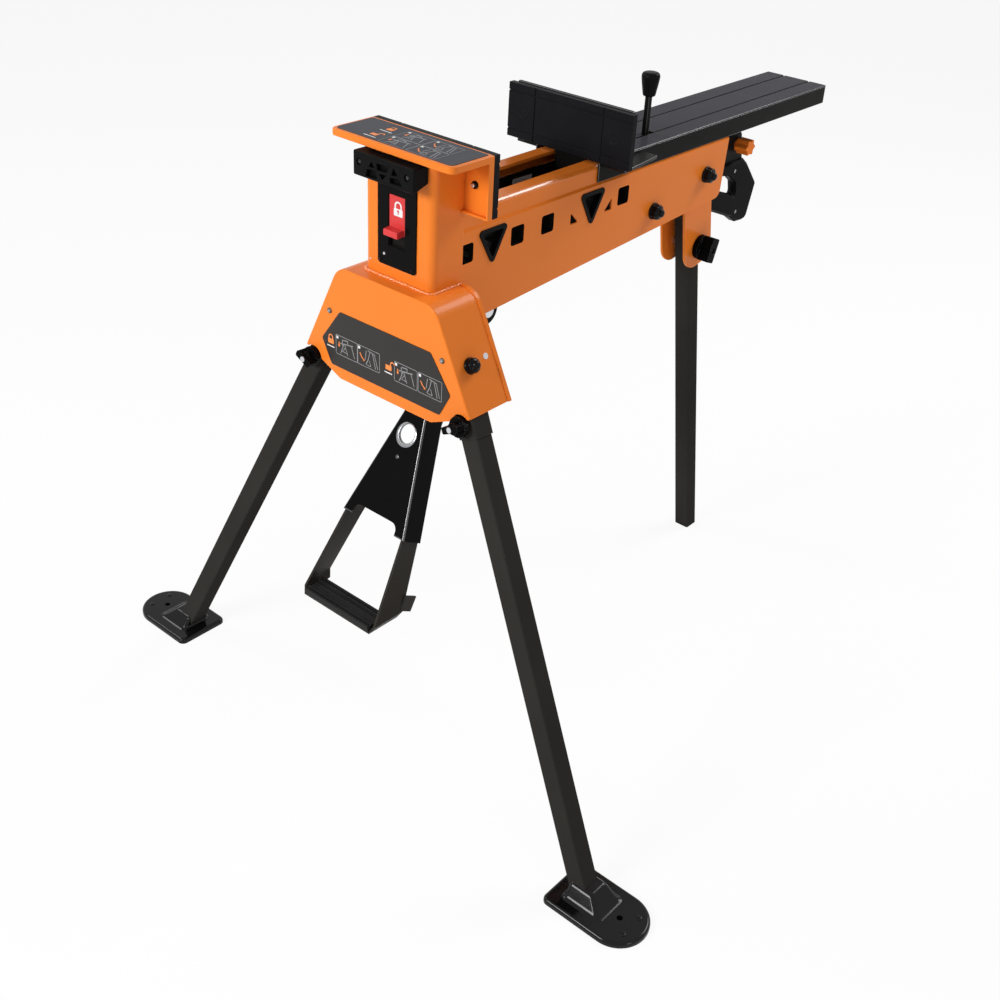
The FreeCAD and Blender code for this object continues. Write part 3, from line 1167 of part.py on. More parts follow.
def pedal_outline(inset, top, end):
    half = PEDAL_NECK_HALF - inset
    foot_half = PEDAL_FOOT_HALF - inset
    return [(-half, -top), (-half, -PEDAL_NECK), (-foot_half, -PEDAL_PLATE_END), (-foot_half, -end),
            (foot_half, -end), (foot_half, -PEDAL_PLATE_END), (half, -PEDAL_NECK), (half, -top)]


def pedal_wall(inset, top, end, x0, x1):
    points = pedal_outline(inset, top, end)
    if end == PEDAL_PLATE_END:
        points = [points[0], points[1], points[2], points[5], points[6], points[7]]
    return prism_x(points, x0, x1)


def pedal_plate():
    """A folded channel: the plate in front, a flange on each side, and two crank arms above the pivot."""
    face = -PEDAL_FACE
    back = face + PEDAL_FLANGE
    channel = cut(pedal_wall(0, 0, PEDAL_PLATE_END, face, back),
                  pedal_wall(SHEET, -1, PEDAL_PLATE_END + 1, face + SHEET, back + 1),
                  box(face - 1, face + SHEET + 1, -PEDAL_NECK_HALF - 1, PEDAL_NECK_HALF + 1, -PEDAL_PLATE_TOP, 1),
                  pedal_slope_cut())
    window = prism_x(rectangle(-PEDAL_WINDOW, PEDAL_WINDOW, -PEDAL_PLATE_END - 20, -PEDAL_WINDOW_TOP),
                     face - 1, face + SHEET + 1, [0, 0, 12, 12])
    hole = rod_x(face - 1, face + SHEET + 1, 0, -PEDAL_HOLE_DOWN, PEDAL_HOLE_RADIUS)
    half = PEDAL_NOTCH / 2
    notch = box(face + PEDAL_NOTCH_IN, back + 1, PEDAL_HOLE_RADIUS, PEDAL_FOOT_HALF,
                -PEDAL_HOLE_DOWN - half, -PEDAL_HOLE_DOWN + half)
    channel = at_pedal(cut(channel, window, hole, notch))
    near = PEDAL_NECK_HALF - SHEET
    x, z = PEDAL_PIVOT
    cheek = [rod_y(near, PEDAL_NECK_HALF, x, z, PEDAL_BOSS_RADIUS),
             box(x - CRANK_WIDTH / 2, x + CRANK_WIDTH / 2, near, PEDAL_NECK_HALF, z, CRANK_Z),
             rod_y(near, PEDAL_NECK_HALF, x, CRANK_Z, CRANK_WIDTH / 2)]
    cheeks = cheek + [mirrored(piece) for piece in cheek]
    reach = PEDAL_NECK_HALF + 1
    return cut(fuse(channel, *cheeks), rod_y(-reach, reach, x, z, PEDAL_AXLE_RADIUS + PIN_GAP),
               rod_y(-reach, reach, x, CRANK_Z, CRANK_PIN_RADIUS))


def pedal_slope_cut():
    """Takes the flanges' upper front corner away, so that they run up to the boss."""
    face = -PEDAL_FACE
    half = PEDAL_NECK_HALF + 1
    return prism_y([(face - 1, 1), (face - 1, -PEDAL_PLATE_TOP), (face, -PEDAL_PLATE_TOP),
                    (-PEDAL_BOSS_RADIUS, -6), (-PEDAL_BOSS_RADIUS, 1)], -half, half)


def loop_ring(down_front, down_back, front, depth, half, toe):
    """One end of a loop arm: four points about a flat bar whose back edge stands farther out."""
    points = [(front, half - LOOP_BAR, down_front), (front, half, down_front),
              (front + depth, half + toe, down_back), (front + depth, half + toe - LOOP_BAR, down_back)]
    corners = [Vector(x, y, -down) for x, y, down in points]
    return Part.makePolygon(corners + corners[:1])


def lap_ring(down):
    """The loop arm where it lies inside the plate's flange."""
    slope = (PEDAL_FOOT_HALF - PEDAL_NECK_HALF) / (PEDAL_PLATE_END - PEDAL_NECK)
    half = PEDAL_FOOT_HALF - slope * (PEDAL_PLATE_END - down) - SHEET - RUN_GAP
    return loop_ring(down, down, -PEDAL_FACE + SHEET + RUN_GAP, LOOP_TOP_DEPTH, half, 0)


def pedal_loop():
    """Two arms from inside the plate's flanges, bent in at the bottom, a crossbar for the tread and a tab."""
    front = -PEDAL_FACE - LOOP_FRONT_SHIFT
    back = front + LOOP_LOW_DEPTH
    top = [lap_ring(PEDAL_PLATE_END - LOOP_LAP), lap_ring(PEDAL_PLATE_END)]
    bend = loop_ring(LOOP_FRONT_END - LOOP_BEND, LOOP_BACK_END - LOOP_BEND, front, LOOP_LOW_DEPTH, LOOP_LOW_HALF,
                     LOOP_TOE)
    end = loop_ring(LOOP_FRONT_END, LOOP_BACK_END, front, LOOP_LOW_DEPTH, LOOP_END_HALF, LOOP_TOE)
    arm = solid(Part.makeLoft([*top, bend, end], True, True))
    half = LOOP_END_HALF - LOOP_BAR / 2
    bar = prism_y(tread_step(0, LOOP_BAR), -half, half)
    outer = LOOP_LOW_HALF + LOOP_TOE
    low = -LOOP_BACK_END + LOOP_BEND
    tab = box(back - 4, back - 4 + TAB_SIZE, 1 - outer, LOOP_BAR - outer, low, low + TAB_SIZE)
    return at_pedal(fuse(arm, mirrored(arm), bar, tab))


def tread_step(low, high, start=0.0, end=TREAD_DEPTH):
    """A slab along the loop's lower edge, seen from the side, between two heights above that edge."""
    front = Vector(-PEDAL_FACE - LOOP_FRONT_SHIFT, 0, -LOOP_FRONT_END)
    back = Vector(front.x + LOOP_LOW_DEPTH, 0, -LOOP_BACK_END)
    along = (back - front).normalize()
    up = Vector(-along.z, 0, along.x)
    spots = [front + along * reach + up * rise
             for reach, rise in ((start, low), (end, low), (end, high), (start, high))]
    return [(spot.x, spot.z) for spot in spots]


def pedal_tread():
    """The ribbed pad on the loop's crossbar."""
    half = LOOP_END_HALF - LOOP_BAR / 2
    top = LOOP_BAR + TREAD_THICK
    base = prism_y(tread_step(LOOP_BAR, top - TREAD_RIB), -half, half)
    step = TREAD_DEPTH / (2 * TREAD_RIBS - 1)
    ribs = [prism_y(tread_step(top - TREAD_RIB, top, 2 * i * step, (2 * i + 1) * step), -half, half)
            for i in range(TREAD_RIBS)]
    return at_pedal(fuse(base, *ribs))


def crank_pin():
    x, _ = PEDAL_PIVOT
    return rod_y(-PEDAL_NECK_HALF, PEDAL_NECK_HALF, x, CRANK_Z, CRANK_PIN_RADIUS)


def pedal_axle():
    x, z = PEDAL_PIVOT
    reach = HANGER_HALF
    return fuse(rod_y(-reach, reach, x, z, PEDAL_AXLE_RADIUS),
                rod_y(reach, reach + 4, x, z, PEDAL_AXLE_RADIUS + 3),
                rod_y(-reach - 4, -reach, x, z, PEDAL_AXLE_RADIUS + 3))


def pedal_hanger():
    """Two lugs under a bridge between the beam's sides, which carry the pedal's axle."""
    x, z = PEDAL_PIVOT
    half = HANGER_WIDTH / 2
    inner = BEAM_HALF - SHEET
    pieces = [box(x - half, x + half, -inner, inner, HANGER_TOP - PLATE, HANGER_TOP)]
    for side in (-1, 1):
        near, far = sorted((side * (HANGER_HALF - PLATE), side * HANGER_HALF))
        pieces.append(box(x - half, x + half, near, far, z, HANGER_TOP))
        pieces.append(rod_y(near, far, x, z, half))
    return cut(fuse(*pieces), rod_y(-inner, inner, x, z, PEDAL_AXLE_RADIUS))


def return_spring():
    """The pedal's torsion spring, wound about the axle between the flanges."""
    x, z = PEDAL_PIVOT
    half = SPRING_LENGTH / 2
    return cut(rod_y(-half, half, x, z, SPRING_RADIUS), rod_y(-half - 1, half + 1, x, z, PEDAL_AXLE_RADIUS))


def drive_bar():
    """The bar from the pedal's crank to the clutch, with a slotted yoke in front and a post at the rear."""
    x = PEDAL_PIVOT[0]
    half = DRIVE_BAR_THICK / 2
    tall = DRIVE_BAR_HEIGHT / 2
    post_end = DRIVE_POST_X + DRIVE_POST_LENGTH
    yoke_half = half + 3
    yoke = box(x - YOKE_LENGTH / 2, x + YOKE_LENGTH / 2, -yoke_half, yoke_half,
               CRANK_Z - YOKE_HEIGHT / 2, CRANK_Z + YOKE_HEIGHT / 2)
    play = CRANK_PIN_RADIUS + YOKE_PLAY
    fall = CRANK_LENGTH * (1 - math.cos(math.radians(PEDAL_STROKE)))
    slot = box(x - play, x + play, -yoke_half - 1, yoke_half + 1, CRANK_Z - fall - play, CRANK_Z + play)
    bar = box(x + YOKE_LENGTH / 2, post_end, -half, half, CRANK_Z - tall, CRANK_Z + tall)
    post = box(DRIVE_POST_X, post_end, -half, half, CRANK_Z - tall, CLUTCH_LOW)
    return fuse(cut(yoke, slot), bar, post)


def clutch():
    """A block on the drive bar's post and the plates behind it, slotted for the traction bar."""
    half = CLUTCH_WIDTH / 2
    post_end = DRIVE_POST_X + DRIVE_POST_LENGTH
    room = TRACTION_THICK / 2 + RUN_GAP
    slot = box(0, SADDLE_REAR, -room, room, SADDLE_UNDER - TRACTION_DEPTH - RUN_GAP, RAIL_TOP)
    layers = [cut(box(DRIVE_POST_X, post_end, -half, half, CLUTCH_LOW, CLUTCH_TOP), slot)]
    for i in range(CLUTCH_PLATES):
        x = post_end + i * CLUTCH_PLATE
        layers.append(cut(box(x, x + CLUTCH_PLATE, -half, half, CLUTCH_LOW + 2, CLUTCH_TOP - 2), slot))
    return Part.makeCompound(layers)


def build():
    """Every piece of the stand, by name."""
    left = {"beam_side": beam_side(), "leg_sleeve": leg_sleeve(), "leg_tube": leg_tube(), "foot": foot(),
            "leg_knob": leg_knob(), "leg_knob_bolt": leg_knob_bolt(), "handle_half": handle_half()}
    pieces = {}
    for name, shape in left.items():
        pieces["left_" + name] = shape
        pieces["right_" + name] = mirrored(shape)
    makers = (window_bezels, beam_bolts, dome_caps, beam_tray, beam_bulkheads, jaw_table, table_sheet,
              fixed_jaw_pad, front_column, front_grip, switch_plate, lock_slider, lock_bar, leg_housing,
              housing_rear_plate, housing_label_panel, front_screws, pivot_plates, leg_pivot_bolts, rear_bracket,
              rear_leg_tube, rear_leg_plug, rear_pivot_bolt, rear_leg_knob, handle_tang, handle_screws, star_knob,
              star_stud, saddle_channel, saddle_cover, jaw_bracket, sliding_jaw_pad, traction_bar, glide_pads,
              lever_bracket, lever_arm, lever_knob, pedal_plate, pedal_loop, pedal_tread, crank_pin, pedal_axle,
              pedal_hanger, return_spring, drive_bar, clutch)
    for maker in makers:
        pieces[maker.__name__] = maker()
    return pieces


def main():
    os.makedirs("parts", exist_ok=True)
    pieces = build()
    whole = FreeCAD.BoundBox()
    for shape in pieces.values():
        whole.add(shape.optimalBoundingBox(False))
    # The origin is on the floor, under the middle of the stand.
    shift = Vector(-whole.Center.x, -whole.Center.y, -whole.ZMin)
    for name, shape in pieces.items():
        shape.translate(shift)
        if not shape.isValid():
            print("not valid:", name)
        shape.exportStep("parts/%s.step" % name)
    print("pieces", len(pieces), "size", whole.XLength, whole.YLength, whole.ZLength)
    print("shift", tuple(shift))
    print("leg pivot", tuple(LEG_PIVOT + shift), "axis", (0, math.cos(LEG_SPLAY), math.sin(LEG_SPLAY)))
    knob = leg_frame().multVec(Vector(0, 0, -KNOB_BELOW)) + shift
    print("knob", tuple(knob), "axis", tuple(leg_frame().Rotation.multVec(Vector(-1, 0, 0))))


main()
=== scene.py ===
# %% [markdown]
# # A foot-operated clamping stand
# The stand is built as solids first: a box beam on three legs, a fixed jaw, a sliding jaw and a pedal.
# This lesson loads those solids as a fixed frame and dresses them: soft edges, powder coat, moulded plastic,
# printed film, welds, screws and the light of a plain studio.

# %% The frame
import json
import math
import random
import bmesh
import bpy
from mathutils import Matrix, Vector


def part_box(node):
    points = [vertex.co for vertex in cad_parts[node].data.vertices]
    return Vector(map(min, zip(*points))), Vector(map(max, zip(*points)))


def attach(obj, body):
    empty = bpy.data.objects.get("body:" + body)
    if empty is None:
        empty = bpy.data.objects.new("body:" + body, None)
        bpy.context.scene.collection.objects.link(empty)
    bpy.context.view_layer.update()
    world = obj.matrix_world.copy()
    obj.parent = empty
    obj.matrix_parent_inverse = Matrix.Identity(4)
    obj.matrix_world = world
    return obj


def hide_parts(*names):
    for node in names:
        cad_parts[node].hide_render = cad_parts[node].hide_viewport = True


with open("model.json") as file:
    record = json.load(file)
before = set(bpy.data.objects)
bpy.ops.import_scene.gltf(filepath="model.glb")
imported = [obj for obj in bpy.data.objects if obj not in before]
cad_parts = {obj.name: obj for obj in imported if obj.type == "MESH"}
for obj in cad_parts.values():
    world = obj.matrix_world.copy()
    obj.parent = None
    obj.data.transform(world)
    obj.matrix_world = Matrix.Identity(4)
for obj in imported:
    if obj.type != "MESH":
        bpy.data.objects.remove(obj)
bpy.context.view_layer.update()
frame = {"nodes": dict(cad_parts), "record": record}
scene = bpy.context.scene
body_of = {node: body for body, nodes in frame["record"]["behaviour"]["bodies"].items() for node in nodes}

# %% [markdown]
# Every place below is written in millimetres, measured as a maker would: x back from the steel behind the fixed
# jaw's pad, y from the middle plane, and z up from the floor. One helper turns that into the frame's metres.
# Only sizes that are compared with a mesh's own points stay in metres, as the mesh does.

# %% Places in millimetres
JAW_STEEL_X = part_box("fixed_jaw_pad")[0].x


def at(x, y, z):
    """A place in millimetres, in the frame's metres."""
    return Vector((JAW_STEEL_X + x / 1000, y / 1000, z / 1000))


print("fixed jaw steel at", round(JAW_STEEL_X, 4))

# %% [markdown]
# ## Finishes
# The real stand has few finishes, but each has its own skin: powder coat is a little lumpy like orange peel,
# moulded plastic has a fine even grain, and bare steel shows the streaks of its plating. These skins could be
# painted into each material by hand. A node group is better, because one group serves every finish that has
# the same skin, each with its own values.

# %% A helper for node groups
def new_group(name, numbers, outputs):
    """A shader group with a place input, some numbers and some outputs; gives the tree and its two ends."""
    tree = bpy.data.node_groups.new(name, "ShaderNodeTree")
    tree.interface.new_socket("Place", in_out="INPUT", socket_type="NodeSocketVector")
    for label, value in numbers.items():
        socket = tree.interface.new_socket(label, in_out="INPUT", socket_type="NodeSocketFloat")
        socket.default_value = value
    for label in outputs:
        tree.interface.new_socket(label, in_out="OUTPUT", socket_type="NodeSocketFloat")
    return tree, tree.nodes.new("NodeGroupInput"), tree.nodes.new("NodeGroupOutput")


def noise(tree, place, scale, detail, roughness=0.5):
    """A noise texture in a tree; the scale is a number or a socket."""
    node = tree.nodes.new("ShaderNodeTexNoise")
    tree.links.new(place, node.inputs["Vector"])
    if isinstance(scale, (int, float)):
        node.inputs["Scale"].default_value = scale
    else:
        tree.links.new(scale, node.inputs["Scale"])
    node.inputs["Detail"].default_value = detail
    node.inputs["Roughness"].default_value = roughness
    return node.outputs["Fac"]


def spread(tree, value, low, high, out_low=0.0, out_high=1.0):
    """Stretches a value from one range to another."""
    node = tree.nodes.new("ShaderNodeMapRange")
    tree.links.new(value, node.inputs["Value"])
    for label, number in (("From Min", low), ("From Max", high), ("To Min", out_low), ("To Max", out_high)):
        node.inputs[label].default_value = number
    return node.outputs["Result"]


print("groups before the first skin:", len(bpy.data.node_groups))

# %% [markdown]
# The first group is the skin of powder coat: a soft peel for the bump, a slow drift of tone, and the faint
# rubbed patches that change how glossy the coat is.

# %% Powder coat skin
coat_skin, first, last = new_group("coat_skin", {"Peel size": 420.0}, ["Peel", "Drift", "Rub"])
peel = noise(coat_skin, first.outputs["Place"], first.outputs["Peel size"], detail=2.0)
coat_skin.links.new(peel, last.inputs["Peel"])
drift = noise(coat_skin, first.outputs["Place"], scale=5.0, detail=3.0)
coat_skin.links.new(spread(coat_skin, drift, low=0.3, high=0.7), last.inputs["Drift"])
rub = noise(coat_skin, first.outputs["Place"], scale=38.0, detail=6.0, roughness=0.65)
coat_skin.links.new(spread(coat_skin, rub, low=0.35, high=0.75), last.inputs["Rub"])
print("group:", coat_skin.name)

# %% [markdown]
# The second group is the grain of moulded plastic: tiny cells like fine leather for the bump, and a grey bloom
# that comes with handling.

# %% Moulded grain
moulded_grain, first, last = new_group("moulded_grain", {"Grain size": 1500.0}, ["Grain", "Bloom"])
cells = moulded_grain.nodes.new("ShaderNodeTexVoronoi")
moulded_grain.links.new(first.outputs["Place"], cells.inputs["Vector"])
moulded_grain.links.new(first.outputs["Grain size"], cells.inputs["Scale"])
moulded_grain.links.new(cells.outputs["Distance"], last.inputs["Grain"])
bloom = noise(moulded_grain, first.outputs["Place"], scale=24.0, detail=5.0, roughness=0.6)
moulded_grain.links.new(spread(moulded_grain, bloom, low=0.35, high=0.75), last.inputs["Bloom"])
print("group:", moulded_grain.name)

# %% [markdown]
# The third group is the streaked look of plated steel: noise that is drawn out along one direction.

# %% Plated streaks
plated_streaks, first, last = new_group("plated_streaks", {"Streak size": 260.0}, ["Streaks"])
draw_out = plated_streaks.nodes.new("ShaderNodeMapping")
draw_out.inputs["Scale"].default_value = (0.12, 1.0, 1.0)
plated_streaks.links.new(first.outputs["Place"], draw_out.inputs["Vector"])
streaks = noise(plated_streaks, draw_out.outputs["Vector"], first.outputs["Streak size"], detail=4.0, roughness=0.6)
plated_streaks.links.new(streaks, last.inputs["Streaks"])
print("group:", plated_streaks.name)

# %% [markdown]
# A finish is a Principled shader with one of these skins: the skin's slow mask mixes two close tones and moves
# the roughness, and its fine output makes the bump. Plain numbers stay on the shader's own sockets.

# %% A helper for finishes
MIX_SHARE, MIX_FIRST, MIX_SECOND, MIX_RESULT = 0, 6, 7, 2  # where a Mix node keeps its sockets for colour


def new_finish(name, skin, tones, gloss, bump, shine=0.5, size=None, **plain):
    """A material: two tones, a range of roughness, the bump's depth in millimetres, and the shine."""
    finish = bpy.data.materials.new(name)
    finish.use_nodes = True
    tree = finish.node_tree
    shader = tree.nodes["Principled BSDF"]
    place = tree.nodes.new("ShaderNodeTexCoord")
    group = tree.nodes.new("ShaderNodeGroup")
    group.node_tree = skin
    tree.links.new(place.outputs["Object"], group.inputs["Place"])
    if size:
        group.inputs[1].default_value = size
    fine, mask = group.outputs[0], group.outputs[-1]
    tone = group.outputs["Drift"] if skin is coat_skin else mask
    mix = tree.nodes.new("ShaderNodeMix")
    mix.data_type = "RGBA"
    mix.inputs[MIX_FIRST].default_value = (*tones[0], 1)
    mix.inputs[MIX_SECOND].default_value = (*tones[1], 1)
    tree.links.new(tone, mix.inputs[MIX_SHARE])
    tree.links.new(mix.outputs[MIX_RESULT], shader.inputs["Base Color"])
    tree.links.new(spread(tree, mask, 0, 1, *gloss), shader.inputs["Roughness"])
    dent = tree.nodes.new("ShaderNodeBump")
    dent.inputs["Distance"].default_value = bump / 1000
    dent.inputs["Strength"].default_value = 1.0
    tree.links.new(fine, dent.inputs["Height"])
    tree.links.new(dent.outputs["Normal"], shader.inputs["Normal"])
    shader.inputs["Specular IOR Level"].default_value = shine
    for label, value in plain.items():
        shader.inputs[label.replace("_", " ")].default_value = value
    finish.diffuse_color = (*tones[0], 1)
    return finish


def near(tone, change=1.25):
    """A tone and one a little lighter."""
    return tone, tuple(channel * change for channel in tone)


print("a grey and its lighter tone:", near((0.4, 0.4, 0.4)))

# %% [markdown]
# The steel is powder coated, orange on the beam, the housing and the jaw table, and black elsewhere. One black would
# do for a sketch. The pedal is deeper than the other black steel and the feet are glossier, so each gets its own; the
# legs get a lighter tone with no shine, a painted sheen in place of the soft reflection on their faces. A shiny black
# mirrors the white room and turns grey, so the faces have little shine, and only the soft edges have much, which
# paints a highlight along them.

# %% The painted finishes
ORANGE = ((0.79, 0.198, 0.021), (0.76, 0.184, 0.018))
FINE_PEEL = 600
orange_coat = new_finish("orange_coat", coat_skin, ORANGE, gloss=(0.28, 0.38), bump=0.03, shine=0.12,
                         Coat_Weight=0.1, Coat_Roughness=0.06)
gleam_coat = new_finish("gleam_coat", coat_skin, ORANGE, gloss=(0.16, 0.24), bump=0.03, shine=0.5,
                        Coat_Weight=0.5, Coat_Roughness=0.08)
bend_coat = new_finish("bend_coat", coat_skin, ORANGE, gloss=(0.5, 0.6), bump=0.03, shine=0.02)
black_coat = new_finish("black_coat", coat_skin, near((0.0085, 0.0080, 0.0075)),
                        gloss=(0.32, 0.44), bump=0.05, shine=0.03, size=FINE_PEEL)
pedal_coat = new_finish("pedal_coat", coat_skin, near((0.0040, 0.0040, 0.0043)),
                        gloss=(0.16, 0.26), bump=0.03, shine=0.02)
foot_coat = new_finish("foot_coat", coat_skin, near((0.0026, 0.0026, 0.0029)),
                       gloss=(0.10, 0.18), bump=0.03, shine=0.2)
arm_coat = new_finish("arm_coat", coat_skin, near((0.0215, 0.0182, 0.0153)),
                      gloss=(0.34, 0.46), bump=0.05, shine=0.08, size=FINE_PEEL)
# The edge coat is a shinier, slightly lighter black for the soft edges: a painted highlight.
edge_coat = new_finish("edge_coat", coat_skin, near((0.010, 0.010, 0.0105)),
                       gloss=(0.18, 0.28), bump=0.02, shine=1.0)
# The legs' lighter tone with no shine is a painted sheen, standing in for the reflection on their faces.
leg_coat = new_finish("leg_coat", coat_skin, near((0.0270, 0.0252, 0.0230)),
                      gloss=(0.32, 0.44), bump=0.05, shine=0.0, size=FINE_PEEL)
painted = [orange_coat, gleam_coat, bend_coat, black_coat, pedal_coat, foot_coat, arm_coat, edge_coat, leg_coat]
print("painted finishes:", [finish.name for finish in painted])

# %% [markdown]
# The moulded parts are plastic and rubber. They differ in how dark they are and in how fine the mould was: the
# caps and the switch plate are smooth, the jaw pads and the handle are grained, and the tread is dull rubber.

# %% The moulded finishes
SLATE = near((0.046, 0.046, 0.054), 1.15)
RUBBER_GRAIN = 1100
jaw_black = new_finish("jaw_black", moulded_grain, near((0.0080, 0.0082, 0.0095)),
                       gloss=(0.34, 0.46), bump=0.04, shine=0.03)
saddle_slate = new_finish("saddle_slate", moulded_grain, SLATE, gloss=(0.34, 0.46), bump=0.04, shine=0.01)
saddle_rim = new_finish("saddle_rim", moulded_grain, SLATE, gloss=(0.22, 0.32), bump=0.02, shine=0.2)
moulded_black = new_finish("moulded_black", moulded_grain, near((0.0048, 0.0048, 0.0052), 1.5),
                           gloss=(0.26, 0.38), bump=0.05, shine=0.03)
handle_black = new_finish("handle_black", moulded_grain, near((0.0024, 0.0024, 0.0026), 1.5),
                          gloss=(0.26, 0.38), bump=0.05, shine=0.02)
switch_black = new_finish("switch_black", moulded_grain, near((0.0040, 0.0038, 0.0038)),
                          gloss=(0.16, 0.24), bump=0.01, shine=0.03)
cap_black = new_finish("cap_black", moulded_grain, near((0.003, 0.003, 0.0033)),
                       gloss=(0.12, 0.2), bump=0.01, shine=0.1)
tread_rubber = new_finish("tread_rubber", moulded_grain, near((0.010, 0.010, 0.010), 1.5),
                          gloss=(0.5, 0.66), bump=0.06, shine=0.12, size=RUBBER_GRAIN)
red_plastic = new_finish("red_plastic", moulded_grain, near((0.56, 0.026, 0.027), 1.1),
                         gloss=(0.34, 0.44), bump=0.02, shine=0.4)
orange_plastic = new_finish("orange_plastic", moulded_grain, near((0.90, 0.215, 0.024), 1.05),
                            gloss=(0.30, 0.42), bump=0.02, shine=0.06)

# %% [markdown]
# Last come the films with their inks, and the bare metal. A film is a plastic with hardly any bump. Plated and worn
# steel are metals, so their tone is the colour of what they mirror.

# %% The printed and plated finishes
table_film = new_finish("table_film", moulded_grain, near((0.050, 0.051, 0.061), 1.15),
                        gloss=(0.40, 0.50), bump=0.02, shine=0.06)
panel_film = new_finish("panel_film", moulded_grain, near((0.0185, 0.0158, 0.0143), 1.15),
                        gloss=(0.32, 0.42), bump=0.015, shine=0.25)
white_print = new_finish("white_print", moulded_grain, near((0.68, 0.68, 0.68), 1.08), gloss=(0.42, 0.52), bump=0.01)
grey_print = new_finish("grey_print", moulded_grain, near((0.23, 0.23, 0.24), 1.15), gloss=(0.42, 0.52), bump=0.01)
orange_print = new_finish("orange_print", moulded_grain, near((0.80, 0.215, 0.035), 1.06),
                          gloss=(0.42, 0.52), bump=0.01)
zinc = new_finish("zinc", plated_streaks, near((0.60, 0.61, 0.63), 1.2),
                  gloss=(0.2, 0.34), bump=0.01, Metallic=1.0)
worn_steel = new_finish("worn_steel", plated_streaks, near((0.26, 0.265, 0.275), 1.4),
                        gloss=(0.16, 0.3), bump=0.01, Metallic=1.0)
dark_steel = new_finish("dark_steel", plated_streaks, near((0.09, 0.09, 0.09), 1.5),
                        gloss=(0.34, 0.5), bump=0.01, Metallic=1.0)

# %% [markdown]
# Every solid gets its finish by name. Solids that stay as they are only need a material slot; the ones that are
# replaced later pass their finish on to the new piece.

# %% Which solid has which finish
FINISH = {
    orange_coat: ["left_beam_side", "right_beam_side", "jaw_table", "front_column", "leg_housing",
                  "housing_rear_plate", "rear_bracket"],
    leg_coat: ["left_leg_tube", "right_leg_tube", "left_leg_sleeve", "right_leg_sleeve", "rear_leg_tube"],
    black_coat: ["pedal_hanger", "saddle_channel", "jaw_bracket", "beam_bulkheads", "beam_tray", "pivot_plates",
                 "handle_tang", "lever_bracket", "lever_arm", "lock_bar"],
    arm_coat: ["pedal_loop"],
    foot_coat: ["left_foot", "right_foot"],
    pedal_coat: ["pedal_plate"],
    saddle_slate: ["saddle_cover"],
    jaw_black: ["fixed_jaw_pad", "sliding_jaw_pad", "glide_pads"],
    handle_black: ["left_handle_half", "right_handle_half", "left_leg_knob", "right_leg_knob", "rear_leg_knob"],
    moulded_black: ["front_grip", "window_bezels", "lever_knob", "rear_leg_plug"],
    cap_black: ["dome_caps"],
    switch_black: ["switch_plate"],
    tread_rubber: ["pedal_tread"],
    red_plastic: ["lock_slider"],
    orange_plastic: ["star_knob"],
    table_film: ["table_sheet"],
    panel_film: ["housing_label_panel"],
    dark_steel: ["front_screws"],
    worn_steel: ["rear_pivot_bolt", "leg_pivot_bolts"],
    zinc: ["beam_bolts", "left_leg_knob_bolt", "right_leg_knob_bolt", "handle_screws", "star_stud", "crank_pin",
           "pedal_axle", "return_spring", "drive_bar", "clutch", "traction_bar"],
}
finish_of = {node: finish for finish, nodes in FINISH.items() for node in nodes}
for node, finish in finish_of.items():
    frame["nodes"][node].data.materials.clear()
    frame["nodes"][node].data.materials.append(finish)
print("painted solids:", len(finish_of), "of", len(body_of))

# %% [markdown]
# ## From a bmesh to a piece
# Each new piece starts as a bmesh. When its shape is done, one helper writes it to an object at the origin,
# shades it smooth up to an angle, and lets it ride on its body. A weighted normal modifier lets the large faces
# decide the shading, so that flat sheet stays flat and only the rounded edges turn.

# %% A helper that keeps a piece
SAME_POINT = 1e-6


def keep(bm, name, finish, body, sharp=32, outward=True, even=False, more=()):
    """Makes a piece of a bmesh; edges over the sharp angle stay sharp, and more are its further finishes."""
    bmesh.ops.remove_doubles(bm, verts=bm.verts, dist=SAME_POINT)
    if outward:
        bmesh.ops.recalc_face_normals(bm, faces=bm.faces)
    mesh = bpy.data.meshes.new(name)
    bm.to_mesh(mesh)
    bm.free()
    for material in (finish, *more):
        mesh.materials.append(material)
    mesh.shade_smooth()
    mesh.set_sharp_from_angle(angle=math.radians(sharp))
    piece = bpy.data.objects.new(name, mesh)
    scene.collection.objects.link(piece)
    if even:
        piece.modifiers.new("even_shading", "WEIGHTED_NORMAL").keep_sharp = True
    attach(piece, body)
    return piece


print("points closer than", SAME_POINT * 1000, "mm are merged")

# %% [markdown]
# ## Soft edges
# No edge of the real stand is as sharp as a drawn solid's: sheet is folded over a radius, plastic leaves the
# mould rounded, and the rounded edge is what catches the light. A bevel modifier could do it live. Here the
# solid's mesh is copied, its triangles are joined to whole faces again, and the bevel operator rounds every
# edge that turns by more than an angle.

# %% Helpers that round a solid's edges
LOOSE_POINT, FLAT_TURN = 1e-5, math.radians(0.6)


def whole_faces(node):
    """A copy of a solid's mesh, with its triangles joined to flat faces."""
    bm = bmesh.new()
    bm.from_mesh(frame["nodes"][node].data)
    bmesh.ops.remove_doubles(bm, verts=bm.verts, dist=LOOSE_POINT)
    bmesh.ops.dissolve_limit(bm, angle_limit=FLAT_TURN, verts=bm.verts, edges=bm.edges)
    return bm


def round_edges(bm, edges, width, segments, clamp=True):
    """Bevels edges by a width in millimetres and gives the new faces."""
    return bmesh.ops.bevel(bm, geom=edges, offset=width / 1000, offset_type="OFFSET", segments=segments, profile=0.5,
                           affect="EDGES", clamp_overlap=clamp, material=-1)["faces"]


def corners_of(bm, angle=30):
    """The edges that turn by more than an angle."""
    return [e for e in bm.edges if e.is_manifold and e.calc_face_angle(0) > math.radians(angle)]


bm = whole_faces("lock_slider")
print("the red slider has", len(bm.faces), "faces and", len(corners_of(bm)), "edges to round")
bm.free()
